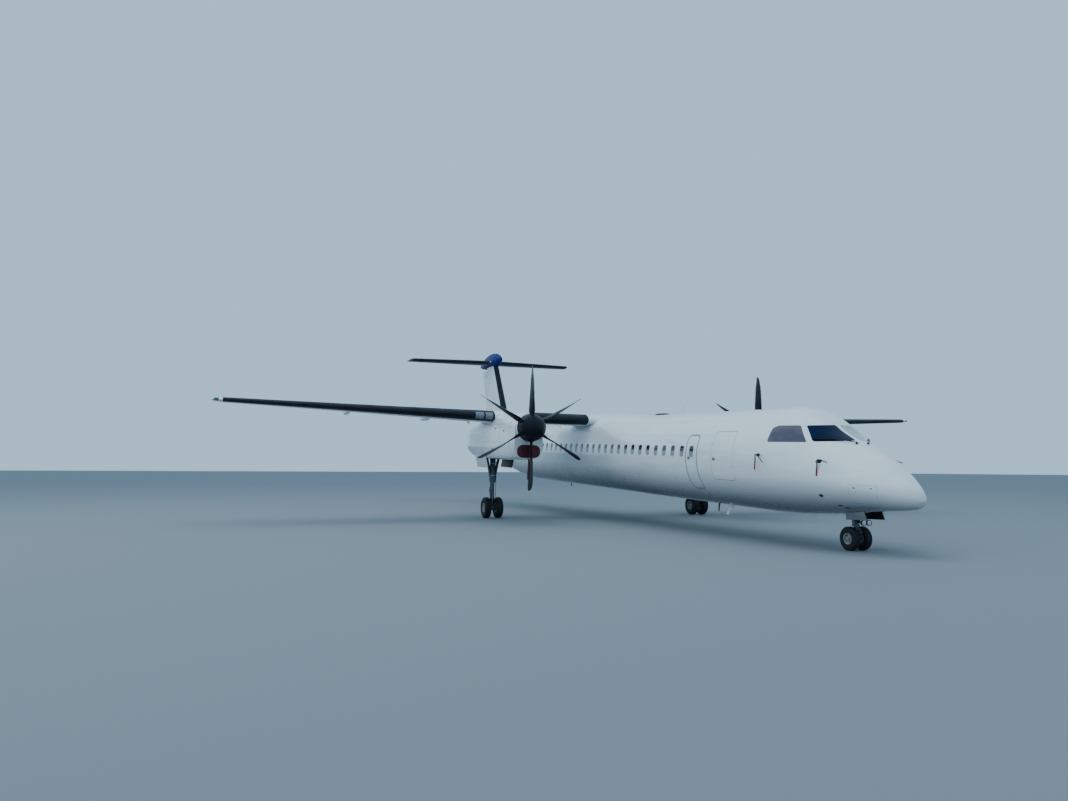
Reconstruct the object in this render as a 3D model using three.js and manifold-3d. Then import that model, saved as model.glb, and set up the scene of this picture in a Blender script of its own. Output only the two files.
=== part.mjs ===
// A high-wing, T-tail, twin-turboprop airliner, parked on its wheels with its
// propellers feathered and covers in its engine intakes.
// Every piece is laid out in the airframe's own axes, in millimetres: a station is a
// distance aft of the datum just ahead of the nose, y is to port and a height is
// measured from the axis of the round cabin. The whole airframe is then tipped
// nose-down onto its wheels, with the ground at z = 0 and the nose towards +X.

import * as THREE from 'three';
import { mergeVertices } from 'three/addons/utils/BufferGeometryUtils.js';
import Module from 'manifold-3d';

const wasm = await Module();
wasm.setup();

// Attitude on the ground
const PITCH = THREE.MathUtils.degToRad(2);
const DATUM_HEIGHT = 1939.5; // cabin axis above the ground at station 0
const ORIGIN_STATION = 16386; // the origin lies below this station

// Clearances
const FIT = 0.3; // between pieces that touch
const PANEL_GAP = 6; // round a door that stays shut
const DOOR_GAP = 9; // round a door that swings
const PANE_GAP = 4; // round a window pane

// Fuselage
const CABIN_RADIUS = 1345;
const HULL_SIDES = 32;
const RADOME_END = 640;
const DOOR_THICKNESS = 80;
const GLASS_THICKNESS = 25;

// Wing and tail
const WING_SPLIT = 4400; // the centre section ends on the nacelles' centre line
const WING_CUT = 0.7; // fraction of the chord where flaps and ailerons begin
const INCIDENCE = THREE.MathUtils.degToRad(2);
const FLAP_PIVOT_DROP = 125; // hinge below the flap's lower skin
const STABILIZER_CUT = 0.62; // fractions of the chord
const ELEVATOR_START = 0.67;

// Power plants
const NACELLE_Y = 4400;
const PROPELLER_STATION = 11770;
const PROPELLER_HEIGHT = 820;
const PROPELLER_RADIUS = 2055;
const BLADE_COUNT = 6;

// Landing gear
const WHEEL_SIDES = 16;
const MAIN_GEAR = { station: 15925, tyreRadius: 393.5, tyreWidth: 248, rimRadius: 165, spacing: 460 };
const NOSE_GEAR = { station: 1985, tyreRadius: 280, tyreWidth: 165, rimRadius: 127, spacing: 345 };

const COLOURS = {
  white: [0xf1f2f2, 0.35, 0.0],
  cap: [0x1c3f7c, 0.35, 0.0],
  glass: [0x1a2433, 0.1, 0.0],
  shade: [0xb59c98, 0.3, 0.0],
  charcoal: [0x33363a, 0.5, 0.1],
  steel: [0x9a9ea3, 0.4, 0.8],
  grey: [0xc9ccce, 0.4, 0.3],
  rubber: [0x1b1b1c, 0.9, 0.0],
  red: [0xc4222b, 0.8, 0.0],
};

const PAINTS = Object.fromEntries(Object.entries(COLOURS).map(([name, [color, roughness, metalness]]) => [
  name,
  new THREE.MeshStandardMaterial({ color, roughness, metalness }),
]));

const airframe = new THREE.Group();

// Shapes

const CORNER_SEGMENTS = 3; // in each rounded corner of an outline

// The volume is negative when the faces point inwards.
function signedVolume(geometry) {
  const { position } = geometry.attributes;
  const corners = [new THREE.Vector3(), new THREE.Vector3(), new THREE.Vector3()];
  let total = 0;
  for (let i = 0; i < geometry.index.count; i += 3) {
    corners.forEach((corner, k) => corner.fromBufferAttribute(position, geometry.index.getX(i + k)));
    total += corners[0].dot(corners[1].clone().cross(corners[2])) / 6;
  }
  return total;
}

// Skins a row of rings; a ring of one point closes to a tip, a full ring gets a cap.
function loft(rings) {
  const corners = rings.flat();
  const faces = [];
  const starts = [];
  rings.reduce((first, ring) => {
    starts.push(first);
    return first + ring.length;
  }, 0);
  for (let i = 0; i + 1 < rings.length; i += 1) {
    const sides = Math.max(rings[i].length, rings[i + 1].length);
    for (let j = 0; j < sides; j += 1) {
      const k = (j + 1) % sides;
      const [a, b] = [j, k].map((n) => starts[i] + (rings[i].length > 1 ? n : 0));
      const [d, c] = [j, k].map((n) => starts[i + 1] + (rings[i + 1].length > 1 ? n : 0));
      if (rings[i].length > 1) faces.push(a, b, c);
      if (rings[i + 1].length > 1) faces.push(a, c, d);
    }
  }
  [0, rings.length - 1].filter((i) => rings[i].length > 1).forEach((i) => {
    const middle = rings[i].reduce((sum, p) => sum.add(p), new THREE.Vector3()).divideScalar(rings[i].length);
    corners.push(middle);
    rings[i].forEach((_, j) => {
      const edge = [starts[i] + j, starts[i] + ((j + 1) % rings[i].length)];
      if (i === 0) edge.reverse();
      faces.push(corners.length - 1, ...edge);
    });
  });
  const geometry = new THREE.BufferGeometry().setFromPoints(corners);
  geometry.setIndex(faces);
  return outward(geometry);
}

// The same shape with shared corners and its faces pointing outwards.
function outward(geometry) {
  const bare = geometry.clone();
  bare.deleteAttribute('normal');
  bare.deleteAttribute('uv');
  const merged = mergeVertices(bare, 1e-3);
  const corners = Array.from(merged.index.array);
  const real = corners.filter((_, i) => {
    const [a, b, c] = corners.slice(i - (i % 3), i - (i % 3) + 3);
    return a !== b && b !== c && c !== a;
  });
  merged.setIndex(real);
  if (signedVolume(merged) < 0) merged.setIndex(real.reverse());
  return merged;
}

// A closed mesh as a solid that can be joined and cut.
function solid(geometry) {
  const merged = outward(geometry);
  return new wasm.Manifold(new wasm.Mesh({
    numProp: 3,
    vertProperties: Float32Array.from(merged.attributes.position.array),
    triVerts: Uint32Array.from(merged.index.array),
  }));
}

function join(geometries) {
  return geometries.map(solid).reduce((sum, next) => sum.add(next));
}

function surface(body) {
  const mesh = body.getMesh();
  const geometry = new THREE.BufferGeometry();
  geometry.setAttribute('position', new THREE.BufferAttribute(Float32Array.from(mesh.vertProperties), 3));
  geometry.setIndex(new THREE.BufferAttribute(Uint32Array.from(mesh.triVerts), 1));
  geometry.computeVertexNormals();
  return geometry;
}

function add(name, shape, paint, parent = airframe) {
  const geometry = shape.isBufferGeometry ? shape : surface(shape);
  const mesh = new THREE.Mesh(geometry, PAINTS[paint]);
  mesh.name = name;
  parent.add(mesh);
  return mesh;
}

const at = (station, y, height) => new THREE.Vector3(-station, y, height);

// An outline pushed straight along one of the airframe's axes.
// side: outline of [station, height], from y to y
// front: outline of [y, height], from station to station
// plan: outline of [station, y], from height to height
function prism(view, outline, from, to) {
  const shape = Array.isArray(outline)
    ? new THREE.Shape(outline.map(([a, b]) => new THREE.Vector2(a, b)))
    : outline;
  const geometry = new THREE.ExtrudeGeometry(shape, {
    depth: Math.abs(to - from),
    bevelEnabled: false,
    curveSegments: CORNER_SEGMENTS,
  });
  const near = Math.min(from, to);
  const frames = {
    side: [[-1, 0, 0], [0, 0, 1], [0, 1, 0], [0, near, 0]],
    front: [[0, 1, 0], [0, 0, 1], [-1, 0, 0], [-near, 0, 0]],
    plan: [[-1, 0, 0], [0, 1, 0], [0, 0, 1], [0, 0, near]],
  };
  const [u, v, w, shift] = frames[view].map((axis) => new THREE.Vector3(...axis));
  const frame = new THREE.Matrix4().makeBasis(u, v, w).setPosition(shift);
  return outward(geometry.applyMatrix4(frame));
}

function block(stations, [left, right], [low, high]) {
  return prism('front', [[left, low], [right, low], [right, high], [left, high]], ...stations);
}

function roundedRectangle([left, right], [low, high], radius) {
  const shape = new THREE.Shape();
  // corner, way to the middle of its arc, start of the arc in half turns
  const corners = [
    [right, low, -1, 1, -0.5],
    [right, high, -1, -1, 0],
    [left, high, 1, -1, 0.5],
    [left, low, 1, 1, 1],
  ];
  shape.moveTo(left + radius, low);
  corners.forEach(([x, y, dx, dy, turn]) => {
    shape.absarc(x + dx * radius, y + dy * radius, radius, turn * Math.PI, (turn + 0.5) * Math.PI, false);
  });
  return shape;
}

// A round bar from one point to another.
function bar(from, to, radius, sides = 12, endRadius = radius) {
  const run = to.clone().sub(from);
  const geometry = new THREE.CylinderGeometry(endRadius, radius, run.length(), sides);
  const turn = new THREE.Quaternion().setFromUnitVectors(new THREE.Vector3(0, 1, 0), run.normalize());
  geometry.applyQuaternion(turn);
  return geometry.translate(...from.clone().add(to).divideScalar(2));
}

// Smooth curve through a table's rows, keyed on the first column, without overshoot.
function along(table, key) {
  const last = table.length - 2;
  const i = Math.min(last, table.filter((row) => row[0] <= key).length - 1);
  const slope = (n, column) => (table[n + 1][column] - table[n][column]) / (table[n + 1][0] - table[n][0]);
  const tangent = (n, column) => {
    if (n === 0) return slope(0, column);
    if (n === last + 1) return slope(last, column);
    const [before, after] = [slope(n - 1, column), slope(n, column)];
    return before * after <= 0 ? 0 : (2 * before * after) / (before + after);
  };
  const width = table[i + 1][0] - table[i][0];
  const t = (key - table[i][0]) / width;
  return table[i].map((value, column) => {
    if (column === 0) return key;
    return value * (1 + 2 * t) * (1 - t) ** 2 + tangent(i, column) * width * t * (1 - t) ** 2
      + table[i + 1][column] * t * t * (3 - 2 * t) + tangent(i + 1, column) * width * t * t * (t - 1);
  });
}

function mixRows(table, key) {
  const i = Math.min(table.length - 2, Math.max(0, table.findIndex((row) => row[0] >= key) - 1));
  const t = (key - table[i][0]) / (table[i + 1][0] - table[i][0]);
  return table[i].map((value, column) => value + t * (table[i + 1][column] - value));
}

// A body's section: two half super-ellipses that meet at its widest height.
// Row: station, top, bottom, half width, height of the widest point
function hoop(row, { sides = HULL_SIDES, y = 0, grow = 0, powers = [2, 2] } = {}) {
  const [station, top, bottom, half, waist] = row;
  if (half === 0) return [at(station - grow, y, waist)];
  return Array.from({ length: sides }, (_, i) => {
    const turn = (2 * Math.PI * i) / sides;
    const [c, s] = [Math.cos(turn), Math.sin(turn)];
    const power = 2 / (s >= 0 ? powers[0] : powers[1]);
    const rise = (s >= 0 ? top - waist : waist - bottom) + grow;
    return at(
      station,
      y + (half + grow) * Math.sign(c) * Math.abs(c) ** power,
      waist + rise * Math.sign(s) * Math.abs(s) ** power,
    );
  });
}

// Fuselage
// station, top, bottom, half width, height of the widest point
const HULL = [
  [50, -760, -760, 0, -760],
  [90, -650, -860, 130, -750],
  [200, -500, -930, 250, -720],
  [500, -220, -985, 440, -660],
  [1000, 90, -1040, 690, -570],
  [1500, 330, -1100, 910, -460],
  [2000, 560, -1170, 1070, -350],
  [2400, 760, -1215, 1165, -260],
  [2800, 1040, -1250, 1235, -190],
  [3200, 1250, -1285, 1280, -120],
  [3800, 1355, -1320, 1325, -40],
  [4800, CABIN_RADIUS, -CABIN_RADIUS, CABIN_RADIUS, 0],
  [21500, CABIN_RADIUS, -CABIN_RADIUS, CABIN_RADIUS, 0],
  [23000, 1345, -1280, 1335, 10],
  [25000, 1340, -1010, 1255, 90],
  [27000, 1325, -600, 1080, 260],
  [29000, 1270, -130, 780, 480],
  [30500, 1180, 230, 500, 660],
  [31500, 1060, 500, 260, 760],
  [31900, 940, 640, 120, 790],
];
const NOSE_STATIONS = [50, 90, 200, 380];
const BODY_STATIONS = [
  900, 1300, 1700, 2000, 2300, 2500, 2700, 2900, 3150, 3500, 3900, 4800,
  21500, 22500, 23500, 25000, 26500, 28000, 29500, 30700, 31500, 31900,
];

function hull(stations, grow = 0) {
  return loft(stations.map((station) => hoop(along(HULL, station), { grow })));
}

const hullWhole = solid(hull([...NOSE_STATIONS, RADOME_END, ...BODY_STATIONS]));
const hullGrown = solid(hull([...NOSE_STATIONS, RADOME_END, ...BODY_STATIONS], FIT));
const insideDoors = solid(hull(BODY_STATIONS.slice(1, -3), -DOOR_THICKNESS));
const behindDoors = solid(hull(BODY_STATIONS.slice(1, -3), -DOOR_THICKNESS - FIT));
const insideGlass = solid(hull(BODY_STATIONS.slice(1, -3), -GLASS_THICKNESS));
const behindGlass = solid(hull(BODY_STATIONS.slice(1, -3), -GLASS_THICKNESS - FIT));
let fuselage = solid(hull([RADOME_END + FIT, ...BODY_STATIONS]));
add('radome', hull([...NOSE_STATIONS, RADOME_END]), 'white');

// Doors, each a curved panel of the skin's own shape
// name, side, front and rear station, bottom, top, corner radius, gap,
// how far from the middle the floor of its recess lies, or 0 where it has none
const DOORS = [
  ['passenger_door', 1, 4450, 5250, -930, 720, 120, DOOR_GAP, 720],
  ['forward_baggage_door', -1, 4950, 5950, -560, 715, 100, DOOR_GAP, 900],
  ['emergency_exit', -1, 6700, 7220, -850, 600, 110, PANEL_GAP, 0],
  ['service_door', -1, 22650, 23350, -700, 720, 110, PANEL_GAP, 0],
  ['aft_passenger_door', 1, 22650, 23350, -930, 720, 110, PANEL_GAP, 0],
  ['aft_baggage_door', 1, 24300, 25570, -560, 900, 110, PANEL_GAP, 0],
];
const STAIR = {
  swing: THREE.MathUtils.degToRad(120),
  steps: 5,
  tread: 190,
  first: 160, // lowest step above the door's lower edge
  pitch: 285,
  inset: 70, // from the door's front and rear edges
  bite: 15, // into the door's inner skin
};

// Steps on the inside of the stair door, whose treads come level when it is down.
function stairSteps([, , front, rear, bottom]) {
  const inner = (height) => Math.sqrt((CABIN_RADIUS - DOOR_THICKNESS) ** 2 - height ** 2) + STAIR.bite;
  return Array.from({ length: STAIR.steps }, (_, i) => {
    const height = bottom + STAIR.first + i * STAIR.pitch;
    const rise = STAIR.tread * Math.sin(STAIR.swing);
    const tip = [inner(height) - STAIR.bite + STAIR.tread * Math.cos(STAIR.swing), height + rise];
    const step = [[inner(height), height], tip, [inner(height + rise), height + rise]];
    return prism('front', step, front + STAIR.inset, rear - STAIR.inset);
  });
}

DOORS.forEach((door) => {
  const [name, side, front, rear, bottom, top, radius, gap, recess] = door;
  const panel = (grow, depth) => solid(prism(
    'side',
    roundedRectangle([front - grow, rear + grow], [bottom - grow, top + grow], radius + grow),
    side * depth,
    side * 1500,
  ));
  let leaf = hullWhole.intersect(panel(0, 400)).subtract(insideDoors);
  if (name === 'passenger_door') leaf = leaf.add(join(stairSteps(door)));
  fuselage = fuselage.subtract(recess ? panel(gap, recess) : panel(gap, 400).subtract(behindDoors));
  add(name, leaf, 'white');
});

// Flight deck glazing: the panes lie flush in the skin
// name, paint, view, outline seen in that view for the port side, reach along the view
const PANES = [
  ['windshield', 'glass', 'front', [[100, 510], [840, 470], [690, 860], [100, 880]], [1500, 3300]],
  ['side_window', 'shade', 'side',
    [[2540, 455], [3640, 450], [3640, 800], [3510, 860], [2940, 860]], [500, 1500]],
];
PANES.forEach(([name, paint, view, outline, reach]) => {
  [['left', 1], ['right', -1]].forEach(([hand, side]) => {
    const turned = view === 'front' ? outline.map(([y, height]) => [side * y, height]) : outline;
    const span = view === 'front' ? reach : reach.map((y) => side * y);
    const cutter = solid(prism(view, turned, ...span));
    const middle = [0, 1].map((k) => turned.reduce((sum, corner) => sum + corner[k] / turned.length, 0));
    const pane = turned.map((corner) => corner.map((n, k) => n + Math.sign(middle[k] - n) * PANE_GAP));
    const shell = hullWhole.intersect(solid(prism(view, pane, ...span))).subtract(insideGlass);
    add(`${name}_${hand}`, shell, paint);
    fuselage = fuselage.subtract(cutter.subtract(behindGlass));
  });
});

// Wing
// y, leading edge station, leading edge height, chord, thickness ratio
const WING = [
  [0, 14120, 1195, 2660, 0.18],
  [4900, 14150, 1240, 2660, 0.18],
  [13950, 14445, 1550, 1340, 0.13],
  [14210, 14520, 1562, 1120, 0.08],
];
const CAMBER = 0.02;
const NOSE_SPACING = [1, 0.8, 0.58, 0.36, 0.18, 0.07, 0.018];

// Half thickness and middle line of the section, as fractions of the chord
function foilAt(x, thickness) {
  const fullness = 0.2969 * Math.sqrt(x) - 0.126 * x - 0.3516 * x ** 2 + 0.2843 * x ** 3 - 0.1036 * x ** 4;
  return [Math.max(5 * thickness * fullness, 0.002), 4 * CAMBER * x * (1 - x)];
}

// Outline of a wing's section between two fractions of its chord, as [distance, rise].
// A section that starts aft of the leading edge gets a nose that is round about its
// hinge, or blunter where nose is under 1.
function foil(chord, thickness, from, to, { camber = 1, grow = 0, nose = 1 } = {}) {
  const skin = (x, sign) => {
    const [half, line] = foilAt(x, thickness);
    return [x * chord, chord * (camber * line + sign * half)];
  };
  let outline;
  if (from === 0) {
    const upper = NOSE_SPACING.map((n) => skin(n * to, 1));
    const lower = NOSE_SPACING.map((n) => skin(n * to, -1)).reverse();
    outline = [...upper, [0, 0], ...lower];
  } else {
    const upper = [1, 0.5, 0].map((n) => skin(from + n * (to - from), 1));
    const lower = [0, 0.5, 1].map((n) => skin(from + n * (to - from), -1));
    const [half, line] = foilAt(from, thickness).map((n) => n * chord);
    const round = [0.25, 0.5, 0.75].map((n) => [
      from * chord - nose * half * Math.sin(n * Math.PI),
      camber * line + half * Math.cos(n * Math.PI),
    ]);
    outline = [...upper, ...round, ...lower];
  }
  if (grow === 0) return outline;
  const count = outline.length;
  return outline.map(([x, z], i) => {
    const [ahead, behind] = [outline[(i + 1) % count], outline[(i + count - 1) % count]];
    const run = [ahead[0] - behind[0], ahead[1] - behind[1]];
    const length = Math.hypot(...run);
    return [x + (run[1] / length) * grow, z - (run[0] / length) * grow];
  });
}

const wingRow = (y) => mixRows(WING, y);
const wingPoint = (y, distance, rise) => {
  const [, station, height] = wingRow(Math.abs(y));
  return at(
    station + distance * Math.cos(INCIDENCE) + rise * Math.sin(INCIDENCE),
    y,
    height + rise * Math.cos(INCIDENCE) - distance * Math.sin(INCIDENCE),
  );
};
function wingLoft(ys, from, to, { grow = 0, nose = 1 } = {}) {
  return loft(ys.map((y) => {
    const [, , , chord, thickness] = wingRow(Math.abs(y));
    return foil(chord, thickness, from, to, { grow, nose }).map(([x, z]) => wingPoint(y, x, z));
  }));
}

// Flap hinge fairings hang under the wing, split where the flap turns.
// Their keels stay above the hinge, so that the halves part as the flap drops.
// Rows: distance aft of the split, half width, depth of the keel below the wing's skin
const KEEL = FLAP_PIVOT_DROP - 20;
const CANOE_FRONT = [[-620, 0, 0], [-560, 35, 40], [-350, 70, 85], [0, 80, KEEL]];
const CANOE_REAR = [[0, 80, KEEL], [350, 75, 100], [700, 50, 80], [980, 22, 45], [1050, 0, 20]];
const CANOE_GAP = 8;
function canoe(rows, y, shift) {
  const [, , , chord, thickness] = wingRow(Math.abs(y));
  const [half, line] = foilAt(WING_CUT, thickness).map((n) => n * chord);
  const top = wingPoint(y, (WING_CUT + 0.02) * chord, line - half);
  return loft(rows.map(([distance, width, depth]) => {
    const station = -top.x + distance + shift;
    return hoop([station, top.z + 60, top.z - depth, width, top.z - depth * 0.4], { sides: 10, y });
  }));
}

// name, inner and outer y, start as a fraction of the chord, nose, y of each hinge fairing
const SURFACES = [
  ['flap_inner', 1500, 3690, 0.732, 0.3, [2600]],
  ['flap_outer', 5110, 10060, 0.732, 0.3, [7000, 9850]],
  ['aileron', 10130, 13860, 0.755, 1, []],
];

const wingCentre = (grow) => {
  const end = WING_SPLIT + grow;
  return wingLoft([-end, -1200, 1200, end], 0, WING_CUT, { grow });
};
add('wing_center', wingCentre(0), 'white');
// Jack pads stand out of the skin by their reach; those of the wing stand at y, aft of the nose.
const PAD = { radius: 45, reach: 30, root: 90, y: 5700, aft: 620, depth: 150 };
[['left', 1], ['right', -1]].forEach(([hand, side]) => {
  const box = wingLoft([WING_SPLIT + FIT, WING[1][0], WING[2][0]].map((y) => side * y), 0, WING_CUT);
  const tip = wingLoft([13900, 13950, 14130, 14210].map((y) => side * y), 0, 1);
  const fairings = SURFACES[1].at(-1).map((y) => canoe(CANOE_FRONT, side * y, -CANOE_GAP));
  const padTop = wingPoint(side * PAD.y, PAD.aft, -PAD.depth);
  const pad = bar(padTop, padTop.clone().add(new THREE.Vector3(0, 0, -PAD.reach - PAD.root)), PAD.radius);
  add(`wing_outer_${hand}`, join([box, tip, ...fairings, pad]), 'white');
  SURFACES.forEach(([name, inner, outer, start, nose, hinges]) => {
    const shape = wingLoft([inner, outer].map((y) => side * y), start, 1, { nose });
    const rear = hinges.map((y) => canoe(CANOE_REAR, side * y, 0));
    add(`${name}_${hand}`, join([shape, ...rear]), 'white');
  });
});

// Wing to fuselage fairing over the crown
// station, top, bottom, half width, height of the widest point
const SADDLE = [
  [11700, 1335, 0, 1335, 0],
  [13000, 1420, 0, 1395, 0],
  [14200, 1500, 0, 1462, 0],
  [16900, 1495, 0, 1462, 0],
  [18200, 1425, 0, 1400, 0],
  [19600, 1335, 0, 1335, 0],
];
const SADDLE_EDGE = [
  [11500, 1600], [11500, 1200], [12700, 700], [14100, 370],
  [17100, 370], [18500, 700], [19700, 1200], [19700, 1600],
];
const saddle = solid(loft(SADDLE.map((row) => hoop(row, { powers: [2.15, 2] }))))
  .intersect(solid(prism('side', SADDLE_EDGE, -1600, 1600)))
  .subtract(hullGrown)
  .subtract(solid(wingCentre(FIT)));
add('wing_fuselage_fairing', saddle, 'white');
fuselage = fuselage.subtract(solid(wingCentre(FIT)));

// Nacelles
// station, top, bottom, half width, height of the widest point
const NACELLE = [
  [12020, 1300, -195, 490, 700],
  [12350, 1345, -232, 555, 640],
  [13000, 1378, -262, 620, 560],
  [13900, 1385, -278, 652, 520],
  [15000, 1370, -282, 655, 500],
  [16100, 1260, -275, 650, 490],
  [16900, 1165, -225, 625, 490],
  [17700, 1070, -60, 530, 530],
  [18400, 970, 210, 380, 610],
  [18850, 890, 450, 220, 690],
  [19050, 800, 620, 80, 715],
];
const INTAKE = { y: [-400, 400], height: [-165, 255], radius: 190, depth: 260 };
const INTAKE_COVER = { proud: 45, deep: 60 };
const ENGINE = { station: [12290, 14290], y: [-360, 360], height: [310, 1090], slack: 12 };
const SHAFT = { radius: 55, front: 11976, slack: 25 };
const GEAR_BAY = { station: [15330, 16560], y: [-400, 400], height: [-500, 150] };
// Pipe that leads the exhaust up and aft: [station, height] of its ends, share that is bored
const JET_PIPE = { ends: [[16900, 1000], [17560, 1250]], radius: 200, wall: 18, depth: 0.3 };
// The doors hang open beside the bay, their upper and lower edges at [offset, height].
const GEAR_DOORS = { station: [15250, 16600], upper: [590, -60], lower: [470, -600], thickness: 24 };

function nacelle(y) {
  const shift = (ys) => ys.map((offset) => y + offset);
  const intake = roundedRectangle(shift(INTAKE.y), INTAKE.height, INTAKE.radius);
  const cavity = block(
    [ENGINE.station[0] - ENGINE.slack, ENGINE.station[1] + ENGINE.slack],
    shift([ENGINE.y[0] - ENGINE.slack, ENGINE.y[1] + ENGINE.slack]),
    [ENGINE.height[0] - FIT, ENGINE.height[1] + ENGINE.slack],
  );
  const shaftHole = bar(
    at(SHAFT.front, y, PROPELLER_HEIGHT),
    at(ENGINE.station[0] + 200, y, PROPELLER_HEIGHT),
    SHAFT.radius + SHAFT.slack,
    16,
  );
  const hand = Math.sign(y);
  const [pipeRoot, pipeMouth] = JET_PIPE.ends.map(([station, height]) => at(station, y, height));
  const pipe = bar(pipeRoot, pipeMouth, JET_PIPE.radius, 20);
  const pipeBore = bar(
    pipeMouth.clone().lerp(pipeRoot, JET_PIPE.depth),
    pipeMouth.clone().lerp(pipeRoot, -JET_PIPE.depth),
    JET_PIPE.radius - JET_PIPE.wall,
    20,
  );
  const { upper, lower, thickness } = GEAR_DOORS;
  const doors = [-1, 1].map((edge) => {
    const plate = [upper, [upper[0] - thickness, upper[1]], [lower[0] - thickness, lower[1]], lower];
    const outline = plate.map(([offset, height]) => [y + edge * offset, height]);
    return prism('front', outline, ...GEAR_DOORS.station);
  });
  return solid(loft(NACELLE.map((row) => hoop(row, { sides: 24, y, powers: [2.2, 3.2] }))))
    .subtract(solid(wingCentre(FIT)))
    .subtract(solid(wingLoft([WING_SPLIT, 4900, 6000].map((n) => hand * n), 0, WING_CUT, { grow: FIT })))
    .subtract(solid(prism('front', intake, SHAFT.front, NACELLE[0][0] + INTAKE.depth)))
    .subtract(solid(cavity))
    .subtract(solid(shaftHole))
    .subtract(solid(block(GEAR_BAY.station, shift(GEAR_BAY.y), GEAR_BAY.height)))
    .add(join([...doors, pipe]))
    .subtract(solid(pipeBore));
}

// Propeller blades stand feathered, edge to the wind.
// radius, chord, thickness, sweep towards the trailing edge, pitch in degrees
const BLADE = [
  [120, 130, 130, 0, 112],
  [470, 180, 105, 0, 112],
  [700, 240, 58, 0, 103],
  [1100, 320, 38, 8, 92],
  [1620, 400, 24, 30, 81],
  [1860, 370, 18, 62, 77],
  [2000, 270, 12, 100, 75],
  [PROPELLER_RADIUS, 90, 6, 135, 75],
];
const BLADE_SIDES = 6;
const SPINNER_SIDES = 24;
// The spinner's dome ends ahead of the blades, on a barrel that they grow out of.
// distance ahead of the blades' plane, radius
const SPINNER = [[620, 0], [595, 70], [510, 165], [360, 270], [220, 350], [100, 400]];
const BARREL = [[100 - FIT, 400], [0, 440], [-200, 478]];

function blade(turn) {
  const rings = BLADE.map(([radius, chord, thickness, sweep, degrees]) => {
    const pitch = THREE.MathUtils.degToRad(degrees);
    return Array.from({ length: BLADE_SIDES }, (_, i) => {
      const angle = (2 * Math.PI * i) / BLADE_SIDES;
      const forward = (chord / 2) * Math.cos(angle) - sweep;
      const across = (thickness / 2) * Math.sin(angle);
      return new THREE.Vector3(
        forward * Math.sin(pitch) + across * Math.cos(pitch),
        -forward * Math.cos(pitch) + across * Math.sin(pitch),
        radius,
      );
    });
  });
  return loft(rings).rotateX(turn);
}

const bladeTurns = Array.from({ length: BLADE_COUNT }, (_, i) => (2 * Math.PI * i) / BLADE_COUNT);
function turnedAboutShaft(profile) {
  const [tip, foot] = [profile[0], profile.at(-1)].map(([distance]) => [distance, 0]);
  const points = [tip, ...profile, foot].map(([distance, radius]) => new THREE.Vector2(radius, distance));
  return outward(new THREE.LatheGeometry(points, SPINNER_SIDES).rotateZ(-Math.PI / 2));
}

const propeller = join([turnedAboutShaft(BARREL), ...bladeTurns.map(blade)]);
const spinner = turnedAboutShaft(SPINNER);

// Main landing gear
const onGround = (radius) => radius * Math.cos(Math.PI / WHEEL_SIDES);
function axleHeight({ station, tyreRadius }) {
  return (onGround(tyreRadius) - DATUM_HEIGHT - station * Math.sin(PITCH)) / Math.cos(PITCH);
}
const MAIN_LEG = {
  axle: 50,
  axleHalf: 295,
  root: GEAR_BAY.height[1] - FIT,
  brace: GEAR_BAY.height[1] - 60,
};

function mainLeg(y) {
  const wheel = axleHeight(MAIN_GEAR);
  // Bars from [offset, height, aft] to [offset, height, aft], with a radius and a count of sides
  const bars = [
    [[0, MAIN_LEG.root, 0], [0, -1180, 0], 105, 12], // cylinder
    [[0, -1000, 0], [0, -1090, 0], 128, 12], // its collar
    [[0, -1150, 0], [0, wheel, 0], 72, 12], // piston
    [[-88, wheel, 0], [88, wheel, 0], 90, 12], // axle housing
    [[-MAIN_LEG.axleHalf, wheel, 0], [MAIN_LEG.axleHalf, wheel, 0], MAIN_LEG.axle, 12], // axle
    [[40, -1130, 0], [300, MAIN_LEG.brace, 0], 38, 8], // side stays
    [[-40, -1130, 0], [-300, MAIN_LEG.brace, 0], 38, 8],
    [[0, -720, 0], [0, MAIN_LEG.brace, 520], 48, 8], // drag stay
    [[0, -1070, 60], [0, -1480, 250], 30, 6], // torque links
    [[0, -1480, 250], [0, wheel + 60, 60], 30, 6],
  ];
  const place = ([offset, height, aft]) => at(MAIN_GEAR.station + aft, y + offset, height);
  return join(bars.map(([from, to, radius, sides]) => bar(place(from), place(to), radius, sides)));
}

// Wheels: a tyre and its rim turn about y.
// Tyre section: radius as a fraction between rim and tread, half width as a fraction
const TYRE_SECTION = [[0, 0.78], [0.4, 1], [0.8, 0.88], [1, 0.45]];
const WHEEL_SLACK = 3; // between axle and rim

// A ring with the half profile given and its mirror image, one flat of it on the ground.
function ring(half) {
  const profile = [...half, ...half.map(([radius, y]) => [radius, -y]).reverse(), half[0]];
  const geometry = new THREE.LatheGeometry(profile.map((point) => new THREE.Vector2(...point)), WHEEL_SIDES);
  return outward(geometry.rotateY(Math.PI / WHEEL_SIDES + Math.PI / 2 - PITCH));
}

function tyre({ tyreRadius, tyreWidth, rimRadius }) {
  const inner = rimRadius + FIT * 2;
  const wall = tyreRadius - inner;
  return ring(TYRE_SECTION.map(([out, side]) => [inner + out * wall, (side * tyreWidth) / 2]));
}

function rim({ tyreWidth, rimRadius }, bore) {
  const half = tyreWidth * 0.4;
  const lip = rimRadius * 0.86;
  const web = tyreWidth * 0.09;
  const boss = bore + rimRadius * 0.24;
  return ring([[rimRadius, half], [lip, half], [boss, web], [bore, half * 0.7]]);
}

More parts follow.
